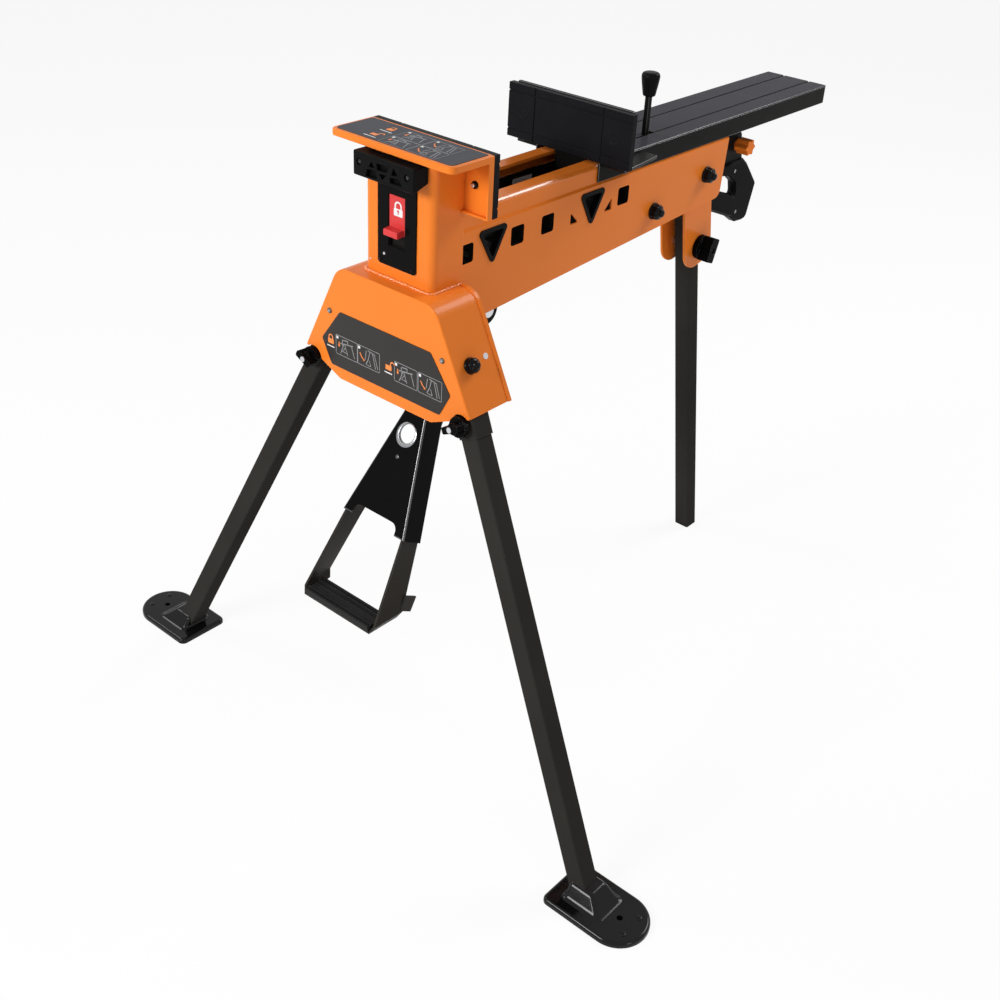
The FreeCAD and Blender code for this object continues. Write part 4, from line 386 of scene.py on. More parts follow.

# %% [markdown]
# Folds with a larger radius are rounded before the other edges, and faces may get another ink than the finish of
# their piece. On the black steel the soft edges get a shinier, slightly lighter finish than the faces between them: a
# painted highlight along the edges. The bevel's own faces take it at once, because a later bevel copies the material
# of the faces beside it.

# %% A helper that stands a rounded copy in a solid's place
# Solids whose soft edges get the shinier edge finish, a painted highlight.
GLEAMING = {"saddle_channel", "jaw_bracket", "pedal_plate", "lever_arm", "left_leg_knob", "right_leg_knob",
            "rear_leg_knob", "handle_tang", "left_leg_sleeve", "right_leg_sleeve", "left_leg_tube",
            "right_leg_tube", "rear_leg_tube"}


def rounded(node, width, segments=2, fold=None, fold_width=0.0, fold_segments=4, ink=None, more=()):
    """Stands a copy with soft edges in a solid's place; the edges that fold picks get a larger radius."""
    bm = whole_faces(node)
    gleam = int(node in GLEAMING)
    if fold:
        for face in round_edges(bm, [e for e in corners_of(bm) if fold(e)], fold_width, fold_segments, clamp=False):
            face.material_index = gleam
    for face in round_edges(bm, corners_of(bm), width, segments):
        face.material_index = gleam
    for face in bm.faces if ink else ():
        face.material_index = ink(face, face.calc_center_median())
    more = (edge_coat, *more) if gleam else more
    piece = keep(bm, node + "_rounded", finish_of[node], body_of[node], outward=False, even=True, more=more)
    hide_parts(node)
    return piece


print("solids with polished edges:", len(GLEAMING))

# %% [markdown]
# Most solids only need their edges softened: folded sheet by about a millimetre, moulded knobs by more, and thin
# films by a fraction. Edges wider than a millimetre get a third segment, so that they still look round up close.

# %% Rounded copies of the solids that show
ROUNDED = {
    "housing_rear_plate": 0.8, "rear_bracket": 1.2, "saddle_channel": 0.8, "jaw_bracket": 1.0,
    "fixed_jaw_pad": 0.6, "sliding_jaw_pad": 0.6, "switch_plate": 0.7, "window_bezels": 0.9, "handle_tang": 0.8,
    "left_leg_knob": 0.9, "right_leg_knob": 0.9, "rear_leg_knob": 1.6, "lever_arm": 1.2, "pedal_loop": 0.9,
    "lock_slider": 0.8, "star_knob": 1.2, "housing_label_panel": 0.25, "table_sheet": 0.2,
    "left_leg_tube": 1.0, "right_leg_tube": 1.0, "rear_leg_tube": 1.0, "left_leg_sleeve": 0.6,
    "right_leg_sleeve": 0.6, "rear_leg_plug": 0.5, "pedal_hanger": 0.8, "beam_tray": 0.6,
}
for node, width in ROUNDED.items():
    piece = rounded(node, width, segments=3 if width > 1 else 2)
    print("rounded", node, len(piece.data.polygons))

# %% [markdown]
# ## Pressings
# Some pressings have folds with a larger radius. On the housing's front and round the top of the jaw table, an
# edge belongs to the fold when it lies in the outer face and its other face is a deep wall. That leaves out the
# edges of holes, whose walls are only as deep as the sheet.

# %% Housing and jaw table
HOUSING_FRONT, TABLE_TOP = -84, 950
IN_FACE = 2e-4


def reach(edge, axis):
    """How far the faces at an edge reach along an axis."""
    places = [axis.dot(v.co) for face in edge.link_faces for v in face.verts]
    return max(places) - min(places)


def fold_in_face(place, normal, depth):
    """Picks edges in the face through a place whose walls reach deep behind it, in millimetres."""
    level = normal.dot(place)
    return lambda e: (all(abs(normal.dot(v.co) - level) < IN_FACE for v in e.verts)
                      and reach(e, normal) > depth / 1000)


housing_fold = fold_in_face(at(HOUSING_FRONT, 0, 0), Vector((1, 0, 0)), depth=30)
housing = rounded("leg_housing", 0.9, fold=housing_fold, fold_width=2.2)
table_fold = fold_in_face(at(0, 0, TABLE_TOP), Vector((0, 0, 1)), depth=6)
table = rounded("jaw_table", 0.9, fold=table_fold, fold_width=2.0)
print("folded:", [(piece.name, len(piece.data.polygons)) for piece in (housing, table)])

# %% [markdown]
# The pedal's plate leans, so it gets its own directions: back from the plate, and down along it. Its two side
# flanges are folded over a large radius, and along their cut back edges the coat is worn to the steel.

# %% Pedal plate
PEDAL_LEAN = math.radians(29.6)
PEDAL_PIVOT, PEDAL_FACE = at(91, 0, 689), -33.8
pedal_back = Vector((math.cos(PEDAL_LEAN), 0, -math.sin(PEDAL_LEAN)))
pedal_down = Vector((-math.sin(PEDAL_LEAN), 0, -math.cos(PEDAL_LEAN)))


def on_pedal(back, y, down):
    """A place on the pedal: back from its axle, across, and down along the plate."""
    return PEDAL_PIVOT + pedal_back * back / 1000 + Vector((0, y / 1000, 0)) + pedal_down * down / 1000


def pedal_ink(face, centre):
    """2 the worn back edges of the flanges; the other faces keep what the bevels gave them."""
    worn = face.normal.dot(pedal_back) > 0.2 and abs(face.normal.y) > 0.3
    return 2 if worn else face.material_index


pedal = rounded("pedal_plate", 0.9, fold=fold_in_face(on_pedal(PEDAL_FACE, 0, 0), pedal_back, depth=15),
                fold_width=2.4, ink=pedal_ink, more=(worn_steel,))
print("folded", pedal.name, len(pedal.data.polygons))

# %% [markdown]
# The cover of the sliding jaw has two long grooves in its top. Its rims get one flat chamfer in a shinier finish,
# which shows as a soft line of light, a painted highlight; the grooves are painted black, as painted shade.

# %% Cover of the sliding jaw
SADDLE_TOP, SADDLE_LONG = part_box("saddle_cover")[1].z, 0.3
GROOVE_SIDE, GROOVE_DEEP, LEVEL = 0.0275, 0.0014, 1e-4


def slanted(face, steep=0.2, flat=0.95):
    """Whether a face leans, neither a wall nor level."""
    return steep < face.normal.z < flat


def saddle_fold(edge):
    """The long edges in the cover's top."""
    return edge.calc_length() > SADDLE_LONG and min(v.co.z for v in edge.verts) > SADDLE_TOP - LEVEL


def saddle_ink(face, centre):
    """0 the slate top and sides, 1 the shiny rims with their painted highlight, 2 the two grooves, painted black as
    painted shade.
    """
    if abs(centre.y) < GROOVE_SIDE:
        return 2 if LEVEL < SADDLE_TOP - centre.z < GROOVE_DEEP else 0
    return int(slanted(face))


saddle = rounded("saddle_cover", 0.4, fold=saddle_fold, fold_width=0.8, fold_segments=1, ink=saddle_ink,
                 more=(saddle_rim, black_coat))
print("chamfered", saddle.name, len(saddle.data.polygons))

# %% [markdown]
# The beam's two sides are folded to rails on top, and the outer edges of the rails gleam, while the bend below them
# lies in the shade of the rail and looks dull. Inside, and in the collars of its windows, the beam is painted black:
# painted shade where the orange steel lies in shadow. Each face gets its ink from where it lies and which way it
# faces.

# %% Beam sides
RAIL_EDGE, RAIL_LONG = at(0, 48, 857), 0.15
BEND, WALL_INSIDE = at(0, 0, 838.6), at(0, 57.4, 0)
WINDOWS, WINDOW_REACH = [at(x, 0, 805.5) for x in (7.1, 109.8, 174.3, 350.9)], 0.0142
FACING_IN = -0.9


def beam_ink(face, centre):
    """0 the orange coat, 1 black inside and in the windows as painted shade, 2 the dull bend, 3 the rails' gleam."""
    if centre.z > BEND.z:
        on_rail = centre.z > RAIL_EDGE.z and abs(centre.y) > RAIL_EDGE.y
        return 3 if on_rail and slanted(face, flat=0.98) else 0
    # Inward faces and the window collars are painted black, as painted shade.
    inward = face.normal.y * centre.y < FACING_IN * abs(centre.y)
    window_shade = abs(centre.y) < WALL_INSIDE.y and any(
        max(abs(centre.x - w.x), abs(centre.z - w.z)) < WINDOW_REACH for w in WINDOWS)
    return 1 if inward or window_shade else 2 if slanted(face, steep=0.3) else 0


def rail_fold(edge):
    """The outer edges along the top of a rail."""
    return edge.calc_length() > RAIL_LONG and edge.is_convex and all(
        abs(v.co.y) > RAIL_EDGE.y and v.co.z > RAIL_EDGE.z for v in edge.verts)


sides = [rounded(node, 0.5, fold=rail_fold, fold_width=2.3, ink=beam_ink, more=(black_coat, bend_coat, gleam_coat))
         for node in ("left_beam_side", "right_beam_side")]
print("folded:", [(piece.name, len(piece.data.polygons)) for piece in sides])

# %% [markdown]
# The column has a slot behind the red slider. Seen through the switch plate it lies in shade, so the faces of the
# slot are picked by a box round it and painted black, as painted shade.

# %% Front column
SLOT_LOW, SLOT_HIGH = at(-60.05, -20, 790), at(-50, 20, 905)


def column_ink(face, centre):
    """1 the slot for the lock, painted black as painted shade; 0 the rest."""
    return int(all(SLOT_LOW[i] < centre[i] < SLOT_HIGH[i] for i in range(3)))


column = rounded("front_column", 0.9, ink=column_ink, more=(black_coat,))
print("folded", column.name, len(column.data.polygons))

# %% [markdown]
# The tread's rubber has ribs along its two long edges, and its middle is worn nearly flat. The solid has six even
# ribs, so in the copy the tops of the middle ones are pressed down before the edges are softened.

# %% Tread
MIDDLE_RIBS, RIB_WORN = (0.3, 0.7), 0.0019
bm = whole_faces("pedal_tread")
tread_up = max((f for f in bm.faces if f.normal.z > 0.9), key=lambda f: f.calc_center_median().z).normal.copy()
tread_along = Vector((0, 1, 0)).cross(tread_up)
start, stop = (pick(tread_along.dot(v.co) for v in bm.verts) for pick in (min, max))
tops = max(tread_up.dot(v.co) for v in bm.verts)
for v in bm.verts:
    share = (tread_along.dot(v.co) - start) / (stop - start)
    if tread_up.dot(v.co) > tops - LEVEL and MIDDLE_RIBS[0] < share < MIDDLE_RIBS[1]:
        v.co -= tread_up * RIB_WORN
round_edges(bm, corners_of(bm), width=0.4, segments=2)
tread = keep(bm, "pedal_tread_rounded", tread_rubber, "pedal", outward=False, even=True)
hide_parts("pedal_tread")
print("tread:", len(tread.data.polygons), "faces")

# %% [markdown]
# The carrying handle is two moulded halves with a flat chamfer round the outside. The chamfer is a bevel of one
# segment on the outer rim, which leaves the screw seats alone; a small bevel then softens every edge.

# %% Handle halves
HANDLE_SCREWS, SEAT_ROOM = [at(757, 0, 741), at(778, 0, 663)], 0.006


def handle_half(node):
    """One half of the handle, chamfered on its outer side."""
    bm = whole_faces(node)
    low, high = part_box(node)
    outer = max(low.y, high.y, key=abs)
    rim = [e for e in corners_of(bm, 50) if all(abs(v.co.y - outer) < IN_FACE for v in e.verts)
           and all((v.co.xz - screw.xz).length > SEAT_ROOM for v in e.verts for screw in HANDLE_SCREWS)]
    round_edges(bm, rim, width=3.6, segments=1, clamp=False)
    # The small bevel's faces take the shinier edge finish, a painted highlight.
    for face in round_edges(bm, corners_of(bm, 25), width=0.6, segments=2):
        face.material_index = 1
    piece = keep(bm, node + "_chamfered", finish_of[node], body_of[node], outward=False, even=True, more=(edge_coat,))
    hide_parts(node)
    return piece


for node in ("left_handle_half", "right_handle_half"):
    print("chamfered", node, len(handle_half(node).data.polygons))

# %% [markdown]
# ## Turned parts
# Caps, screws, knobs and eyelets are round, so each starts as a few points of its profile that the spin operator
# turns once about an axis. The profile is drawn in millimetres in a small frame on the surface that carries it.

# %% Frames on surfaces and turned shapes
MM = Matrix.Scale(0.001, 4)


def facing(place, normal, up=(0, 0, 1)):
    """A frame on a surface, in millimetres: u to the right as seen from outside, v up, w out of the surface."""
    w = Vector(normal).normalized()
    u = Vector(up).cross(w).normalized()
    return Matrix.Translation(place) @ Matrix((u, w.cross(u), w)).transposed().to_4x4() @ MM


def turned(bm, profile, there, steps=32, flutes=None, material=0):
    """Turns a profile of (radius, height) about a frame's w axis; flutes are (count, depth, low, high)."""
    before = set(bm.verts)
    points = [bm.verts.new((radius, 0, height)) for radius, height in profile]
    edges = [bm.edges.new(pair) for pair in zip(points, points[1:])]
    bmesh.ops.spin(bm, geom=points + edges, cent=(0, 0, 0), axis=(0, 0, 1), angle=2 * math.pi, steps=steps,
                   use_merge=True)
    fresh = [v for v in bm.verts if v not in before]
    if flutes:
        count, depth, low, high = flutes
        for v in fresh:
            if low <= v.co.z <= high:
                v.co.xy = v.co.xy * (1 - depth * (0.5 + 0.5 * math.cos(count * math.atan2(v.co.y, v.co.x))))
    for face in {face for v in fresh for face in v.link_faces}:
        face.material_index = material
    bmesh.ops.transform(bm, matrix=there, verts=fresh)


print("one unit in a surface's frame is", round(MM[0][0], 6), "m")

# %% [markdown]
# The black caps over the cross bolts and the leg pivots have a fluted body, a dome and a small shiny nub. The
# flutes could be cut one by one; here the turned points are drawn in by a cosine round the axis. The caps of the
# leg pivots are smaller and stand on the housing's sloping walls.

# %% Dome caps
CAP = [(0, 0), (13.0, 0), (13.2, 0.6), (13.2, 2.0), (12.6, 2.8), (12.4, 4.0), (12.2, 9.0), (11.6, 11.0),
       (10.2, 12.6), (8.2, 13.5), (6.9, 13.9), (6.6, 14.6), (6.3, 16.2), (5.4, 17.9), (3.8, 18.9), (2.0, 19.4),
       (0, 19.5)]
CAP_STEPS, BEAM_FLUTES, LEG_FLUTES = 60, (10, 0.07, 2.5, 12.7), (10, 0.04, 2.5, 12.7)
CROSS_BOLTS = ((436, 58.9, 761), (577, 58.9, 788))
LEG_PIVOT, LEG_SPLAY, LEG_CAP_SIZE = (-55.1, 127.8, 689.7), math.radians(26.19), 0.85


def on_side(place, side):
    """A place in millimetres on the left, or with a side of -1 its mirror image on the right."""
    x, y, z = place
    return at(x, y * side, z)


bm = bmesh.new()
for side in (1, -1):
    for bolt in CROSS_BOLTS:
        turned(bm, CAP, facing(on_side(bolt, side), (0, side, 0)), CAP_STEPS, BEAM_FLUTES)
    wall = Vector((0, side * math.cos(LEG_SPLAY), math.sin(LEG_SPLAY)))
    leg_pivot = facing(on_side(LEG_PIVOT, side), wall)
    turned(bm, CAP, leg_pivot @ Matrix.Scale(LEG_CAP_SIZE, 4), CAP_STEPS, LEG_FLUTES)
caps = keep(bm, "dome_caps_turned", cap_black, "frame", sharp=50)
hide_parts("dome_caps")

# %% [markdown]
# The screws in front have pan heads with a cross recess. The recess is two bars let into the head, which is all that
# shows of it at this size; their finish paints it, a dark cross as painted shade and a bright one as a painted
# highlight.

# %% Screw heads
RECESS_TURNS = (25, 115)


def pan_head(radius, height):
    """The profile of a low, rounded head."""
    return [(0, -0.2), (radius, -0.2), (radius, 0.3 * height), (0.9 * radius, 0.7 * height),
            (0.6 * radius, 0.95 * height), (0, height)]


def flat_bar(bm, there, length, width, low, high, material=0):
    """A small bar on a frame, with its middle on the frame's axis."""
    made = bmesh.ops.create_cube(bm, size=1)["verts"]
    bmesh.ops.scale(bm, verts=made, vec=(length, width, high - low))
    bmesh.ops.translate(bm, verts=made, vec=(0, 0, (low + high) / 2))
    for face in {face for v in made for face in v.link_faces}:
        face.material_index = material
    bmesh.ops.transform(bm, matrix=there, verts=made)


def cross_screw(bm, there, radius, height, head, recess):
    """A pan head with a cross in it; head and recess are the indices of their finishes, a dark recess being painted
    shade and a bright one a painted highlight.
    """
    turned(bm, pan_head(radius, height), there, steps=24, material=head)
    for turn in RECESS_TURNS:
        flat_bar(bm, there @ Matrix.Rotation(math.radians(turn), 4, "Z"), 1.15 * radius, 0.26 * radius,
                 0.3 * height, height + 0.06, recess)


print("a pan head is turned from", len(pan_head(radius=4.0, height=2.4)), "points")

# %% [markdown]
# Two screws hold the housing and two the grip, the jaw's bolts stick out of their nuts, and rivets hold the
# switch plate. They share one solid, so they share one piece with three finishes.

# %% Front screws
FRONT = (-1, 0, 0)
STEEL, BRIGHT, BLACK = 0, 1, 2
HOUSING_SCREW, GRIP_SCREW = (HOUSING_FRONT, 105.4, 699), (-84.7, 41.8, 923.5)
JAW_BOLT, SWITCH_RIVET = (-3, 79, 906.5), (-62.5, 28.4, 792)
JAW_NUT = [(0, -0.2), (5.0, -0.2), (5.0, 2.6), (4.4, 3.4), (0, 3.5)]
JAW_STUD = [(0, 3.2), (2.8, 3.2), (2.8, 6.2), (2.2, 6.8), (0, 6.8)]
bm = bmesh.new()
for side in (1, -1):
    housing_seat, grip_seat, jaw_seat, switch_seat = (
        facing(on_side(place, side), FRONT) for place in (HOUSING_SCREW, GRIP_SCREW, JAW_BOLT, SWITCH_RIVET))
    # The housing screws' bright zinc cross is a painted highlight.
    cross_screw(bm, housing_seat, radius=4.0, height=2.4, head=STEEL, recess=BRIGHT)
    cross_screw(bm, grip_seat, radius=4.0, height=1.6, head=BLACK, recess=STEEL)
    for profile, material in ((JAW_NUT, BLACK), (JAW_STUD, BRIGHT)):
        turned(bm, profile, jaw_seat, steps=24, material=material)
    turned(bm, pan_head(radius=2.2, height=1.2), switch_seat, steps=20, material=BLACK)
screws = keep(bm, "front_screws_turned", dark_steel, "frame", more=(zinc, cap_black))
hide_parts("front_screws")
print("front screws:", len(screws.data.polygons), "faces")

# %% [markdown]
# The handle's screws are plated, with a dark cross that is painted shade in the recess, and sit in the seats on both
# sides of the handle.

# %% Handle screws
SEAT_SIDE, PLATED, DARK = 0.0063, 0, 1
bm = bmesh.new()
for screw in HANDLE_SCREWS:
    for side in (1, -1):
        place = screw + Vector((0, SEAT_SIDE * side, 0))
        cross_screw(bm, facing(place, (0, side, 0)), radius=3.9, height=2.1, head=PLATED, recess=DARK)
handle_screws = keep(bm, "handle_screws_turned", zinc, "frame", more=(dark_steel,))
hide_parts("handle_screws")
print("handle screws:", len(handle_screws.data.polygons), "faces")

# %% [markdown]
# ## Front grip
# The front grip is a moulded block with pockets in its face, like a small lattice, and two sunk screw seats. The
# block is a profile extruded across and rounded. The pockets could be cut with a boolean; here the front face is
# opened, so that it can be filled again round the outlines of the pockets.

# %% The grip's block
GRIP_LOW, GRIP_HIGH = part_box("front_grip")
GRIP_RISE = 0.0085


def verts_in(made):
    """The vertices among what an operator made."""
    return [g for g in made if isinstance(g, bmesh.types.BMVert)]


bm = bmesh.new()
front, rear, low, top = GRIP_LOW.x, GRIP_HIGH.x, GRIP_LOW.z, GRIP_HIGH.z
profile = ((front, low), (front, top), (rear, top), (rear, low + GRIP_RISE))
end = bm.faces.new([bm.verts.new((x, GRIP_LOW.y, z)) for x, z in profile])
grown = bmesh.ops.extrude_face_region(bm, geom=[end])["geom"]
bmesh.ops.translate(bm, verts=verts_in(grown), vec=(0, GRIP_HIGH.y - GRIP_LOW.y, 0))
bmesh.ops.recalc_face_normals(bm, faces=bm.faces)
round_edges(bm, bm.edges[:], width=2.2, segments=3)
face = max((f for f in bm.faces if f.normal.x < -0.99), key=lambda f: f.calc_area())
border = list(face.edges)
bmesh.ops.delete(bm, geom=[face], context="FACES_ONLY")
print("the grip's front face had", len(border), "edges")

# %% [markdown]
# Each pocket is an outline in shares of the front face, from its upper left corner. When the face is filled round
# all of them, every outline is extruded inwards and closed by a floor.

# %% The grip's pockets
POCKET_DEPTH, SEAT_DEPTH = 0.006, 0.0024
SEAT_RADIUS = 4.8  # in the millimetres of a surface's frame
POCKETS = [((0.31, 0.24), (0.265, 0.48), (0.37, 0.47)),
           ((0.238, 0.59), (0.215, 0.90), (0.403, 0.87), (0.392, 0.53)),
           ((0.392, 0.236), (0.409, 0.50), (0.558, 0.49), (0.624, 0.20)),
           ((0.436, 0.62), (0.492, 0.83), (0.569, 0.58)),
           ((0.674, 0.195), (0.64, 0.51), (0.75, 0.47)),
           ((0.613, 0.62), (0.624, 0.84), (0.818, 0.82), (0.768, 0.55))]


def pocket(bm, loop, depth):
    """Walls and floor of a pocket behind a loop of edges in the front face."""
    sunk = bmesh.ops.extrude_edge_only(bm, edges=loop)["geom"]
    floor = verts_in(sunk)
    bmesh.ops.translate(bm, verts=floor, vec=(depth, 0, 0))
    bmesh.ops.contextual_create(bm, geom=[g for g in sunk if isinstance(g, bmesh.types.BMEdge)
                                          and all(v in set(floor) for v in g.verts)])


loops = []
for outline in POCKETS:
    points = [bm.verts.new((front, GRIP_HIGH.y + u * (GRIP_LOW.y - GRIP_HIGH.y), top + v * (low - top)))
              for u, v in outline]
    loops.append(([bm.edges.new((a, b)) for a, b in zip(points, points[1:] + points[:1])], POCKET_DEPTH))
for side in (1, -1):
    ring = bmesh.ops.create_circle(bm, segments=24, radius=SEAT_RADIUS, cap_ends=False)["verts"]
    bmesh.ops.transform(bm, matrix=facing(on_side(GRIP_SCREW, side), FRONT), verts=ring)
    for v in ring:
        v.co.x = front
    loops.append(([e for e in bm.edges if all(v in set(ring) for v in e.verts)], SEAT_DEPTH))
bmesh.ops.triangle_fill(bm, use_beauty=True, use_dissolve=False,
                        edges=border + [e for loop, _ in loops for e in loop])
for loop, depth in loops:
    pocket(bm, loop, depth)
grip = keep(bm, "front_grip_moulded", moulded_black, "frame", even=True)
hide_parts("front_grip")
print("grip:", len(grip.data.polygons), "faces,", len(POCKETS), "pockets")

# %% [markdown]
# ## Lever, pedal and spring
# The lever's knob is a tapered, rounded grip, wider at its top.

# %% Lever knob
LEVER_KNOB = [(0, 0), (8.2, 0), (9.3, 0.8), (9.8, 2.4), (11.2, 10), (12.6, 18), (13.6, 24.5), (14.0, 28.5),
              (13.6, 31.5), (12.2, 33.7), (9.8, 34.8), (6.0, 35.0), (0, 35.0)]
KNOB_FOOT, UP, BACK = at(446, -21.5, 928), (0, 0, 1), (1, 0, 0)
bm = bmesh.new()
turned(bm, LEVER_KNOB, facing(KNOB_FOOT, UP, up=BACK), steps=40)
lever_knob = keep(bm, "lever_knob_turned", moulded_black, "lever", sharp=50)
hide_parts("lever_knob")
print("lever knob:", len(lever_knob.data.polygons), "faces")

# %% [markdown]
# The pedal's hole has a plated eyelet, dished outwards and pulled a little downwards, so it is turned first and
# its outer points are then shifted the more, the further out they lie. Below it is a small round dimple.

# %% Eyelet and dimple
EYELET = [(14.0, -3.0), (14.0, 0.4), (14.6, 1.2), (16.0, 1.5), (17.6, 1.2), (18.6, 0.3), (18.6, -0.3), (15.0, -0.6),
          (15.0, -3.0), (14.0, -3.0)]
EYELET_BORE, EYELET_PULL = 15.2, Vector((-0.25, -0.5))
EYELET_DOWN, DIMPLE_DOWN, DIMPLE_SIDE = 202, 238, 2
bm = bmesh.new()
turned(bm, EYELET, Matrix.Identity(4), steps=40)
for v in bm.verts:
    v.co.xy += EYELET_PULL * max(0.0, v.co.xy.length - EYELET_BORE)
bmesh.ops.transform(bm, matrix=facing(on_pedal(PEDAL_FACE, 0, EYELET_DOWN), -pedal_back), verts=bm.verts)
eyelet = keep(bm, "pedal_eyelet", worn_steel, "pedal")
bm = bmesh.new()
dimple_seat = facing(on_pedal(PEDAL_FACE, DIMPLE_SIDE, DIMPLE_DOWN), -pedal_back)
turned(bm, pan_head(radius=3.2, height=0.9), dimple_seat, steps=24)
# The dimple takes the shinier edge finish, a painted glint.
dimple = keep(bm, "pedal_dimple", edge_coat, "pedal", sharp=60)
print("eyelet and dimple:", len(eyelet.data.polygons), len(dimple.data.polygons), "faces")

# %% [markdown]
# The return spring on the pedal's axle is a real coil: a circle of wire that the spin operator carries along the
# axle as it turns. The two open ends of the wire are filled.

# %% Return spring
COILS, STEPS, COIL_RADIUS, WIRE, WIRE_SIDES, SPRING_LENGTH = 8, 20, 9.2, 1.3, 8, 26.0
bm = bmesh.new()
wire = bmesh.ops.create_circle(bm, segments=WIRE_SIDES, radius=WIRE, cap_ends=False)["verts"]
spring_end = (COIL_RADIUS, 0, -SPRING_LENGTH / 2)
bmesh.ops.translate(bm, verts=wire, vec=spring_end)
bmesh.ops.rotate(bm, verts=wire, cent=spring_end, matrix=Matrix.Rotation(math.pi / 2, 3, "X"))
bmesh.ops.spin(bm, geom=wire + bm.edges[:], cent=(0, 0, 0), axis=(0, 0, 1), angle=2 * math.pi * COILS,
               steps=COILS * STEPS, dvec=(0, 0, SPRING_LENGTH / COILS / STEPS))
bmesh.ops.holes_fill(bm, edges=bm.edges[:], sides=WIRE_SIDES)
bmesh.ops.transform(bm, matrix=facing(PEDAL_PIVOT, (0, 1, 0)), verts=bm.verts)
spring = keep(bm, "return_spring_coil", zinc, "frame", sharp=60)
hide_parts("return_spring")
print("spring:", len(spring.data.polygons), "faces")

# %% [markdown]
# ## Feet
# Each front foot is a pressed steel shoe: a flat plate with a round end and a rolled rim, and a socket that
# flares out of the plate to take the leg. The plate is one face whose corners the vertex bevel rounds, each by its
# own radius; then it is extruded, and its rim is rounded.

# %% The shoe's plate
FOOT_MID, FOOT_TOP, RIM, ROUND_END = -127.9, 9.0, 5.0, 20
SHOE = [(-173.9, 400.5, 10.0), (-81.9, 400.5, 10.0), (-81.9, 545.0, 45.9), (-173.9, 545.0, 45.9)]


def round_corners(bm, points, radius, segments):
    """Rounds corners of a flat face."""
    bmesh.ops.bevel(bm, geom=points, offset=radius, offset_type="OFFSET", segments=segments, profile=0.5,
                    affect="VERTICES", clamp_overlap=False, material=-1)


def shoe_plate(bm):
    """The flat plate with its rolled rim."""
    points = [bm.verts.new((x, y, 0)) for x, y, _ in SHOE]
    bm.faces.new(points)
    for point, (_, _, radius) in zip(points, SHOE):
        round_corners(bm, [point], radius, segments=5 if radius < ROUND_END else 14)
    grown = bmesh.ops.extrude_face_region(bm, geom=bm.faces[:])["geom"]
    bmesh.ops.translate(bm, verts=verts_in(grown), vec=(0, 0, FOOT_TOP))
    rim = [e for e in bm.edges if all(v.co.z > FOOT_TOP - 0.01 for v in e.verts)]
    bmesh.ops.bevel(bm, geom=rim, offset=RIM, offset_type="OFFSET", segments=5, profile=0.5, affect="EDGES",
                    clamp_overlap=False, material=-1)


print("the shoe is", SHOE[1][0] - SHOE[0][0], "mm wide and", SHOE[2][1] - SHOE[1][1], "mm long")

# %% [markdown]
# A hole for a floor screw goes into the plate: its top is opened, filled again round a circle, and the circle is
# extruded down. Its black bottom is painted shade, in place of the shaded floor that would show through the hole.

# %% The hole in the plate
HOLE_Y, HOLE_RADIUS, HOLE_DEPTH = 503, 4.5, 6


def bolt_hole(bm):
    """A round hole in the plate, closed at its bottom in black as painted shade."""
    lid = max(bm.faces, key=lambda f: f.calc_center_median().z)
    border = list(lid.edges)
    bmesh.ops.delete(bm, geom=[lid], context="FACES_ONLY")
    ring = bmesh.ops.create_circle(bm, segments=20, radius=HOLE_RADIUS, cap_ends=False)["verts"]
    bmesh.ops.translate(bm, verts=ring, vec=(FOOT_MID, HOLE_Y, FOOT_TOP))
    edges = [e for e in bm.edges if all(v in set(ring) for v in e.verts)]
    bmesh.ops.triangle_fill(bm, use_beauty=True, use_dissolve=False, edges=border + edges)
    bottom = verts_in(bmesh.ops.extrude_edge_only(bm, edges=edges)["geom"])
    bmesh.ops.translate(bm, verts=bottom, vec=(0, 0, -HOLE_DEPTH))
    bm.faces.new(bottom)


print("the hole is", HOLE_DEPTH, "mm deep")

# %% [markdown]
# The socket could be lofted between two rectangles, but then its flare and its soft shoulder would be missing. It
# grows from one rounded rectangle instead, by extruding and tapering it level by level. Each level has a height
# and a flare, by which the rectangle is larger there than the straight taper.

# %% The socket for the leg
SOCKET_LEVELS = [(8.6, 5.0), (9.2, 3.2), (10.2, 1.7), (12.0, 0.6), (14.0, 0.2), (25.0, 0.0), (27.2, -0.6),
                 (28.5, -1.8), (29.0, -3.6)]
SOCKET_LOW, SOCKET_TALL, SOCKET_CORNER = 6.5, 22.5, 9
SOCKET_SHIFT, SOCKET_HALF, SOCKET_NARROWS = 5.4, 27.25, 10.75
SOCKET_INNER, SOCKET_OUTER, SOCKET_LEANS = 423, 488, 27


def socket_at(level, flare):
    """The socket's rectangle at a height: low and high corner, spread by its flare."""
    share = (level - SOCKET_LOW) / SOCKET_TALL
    middle, half = FOOT_MID + SOCKET_SHIFT * share, SOCKET_HALF - SOCKET_NARROWS * share
    return (Vector((middle - half - flare, SOCKET_INNER - flare, level)),
            Vector((middle + half + flare, SOCKET_OUTER - SOCKET_LEANS * share + flare, level)))


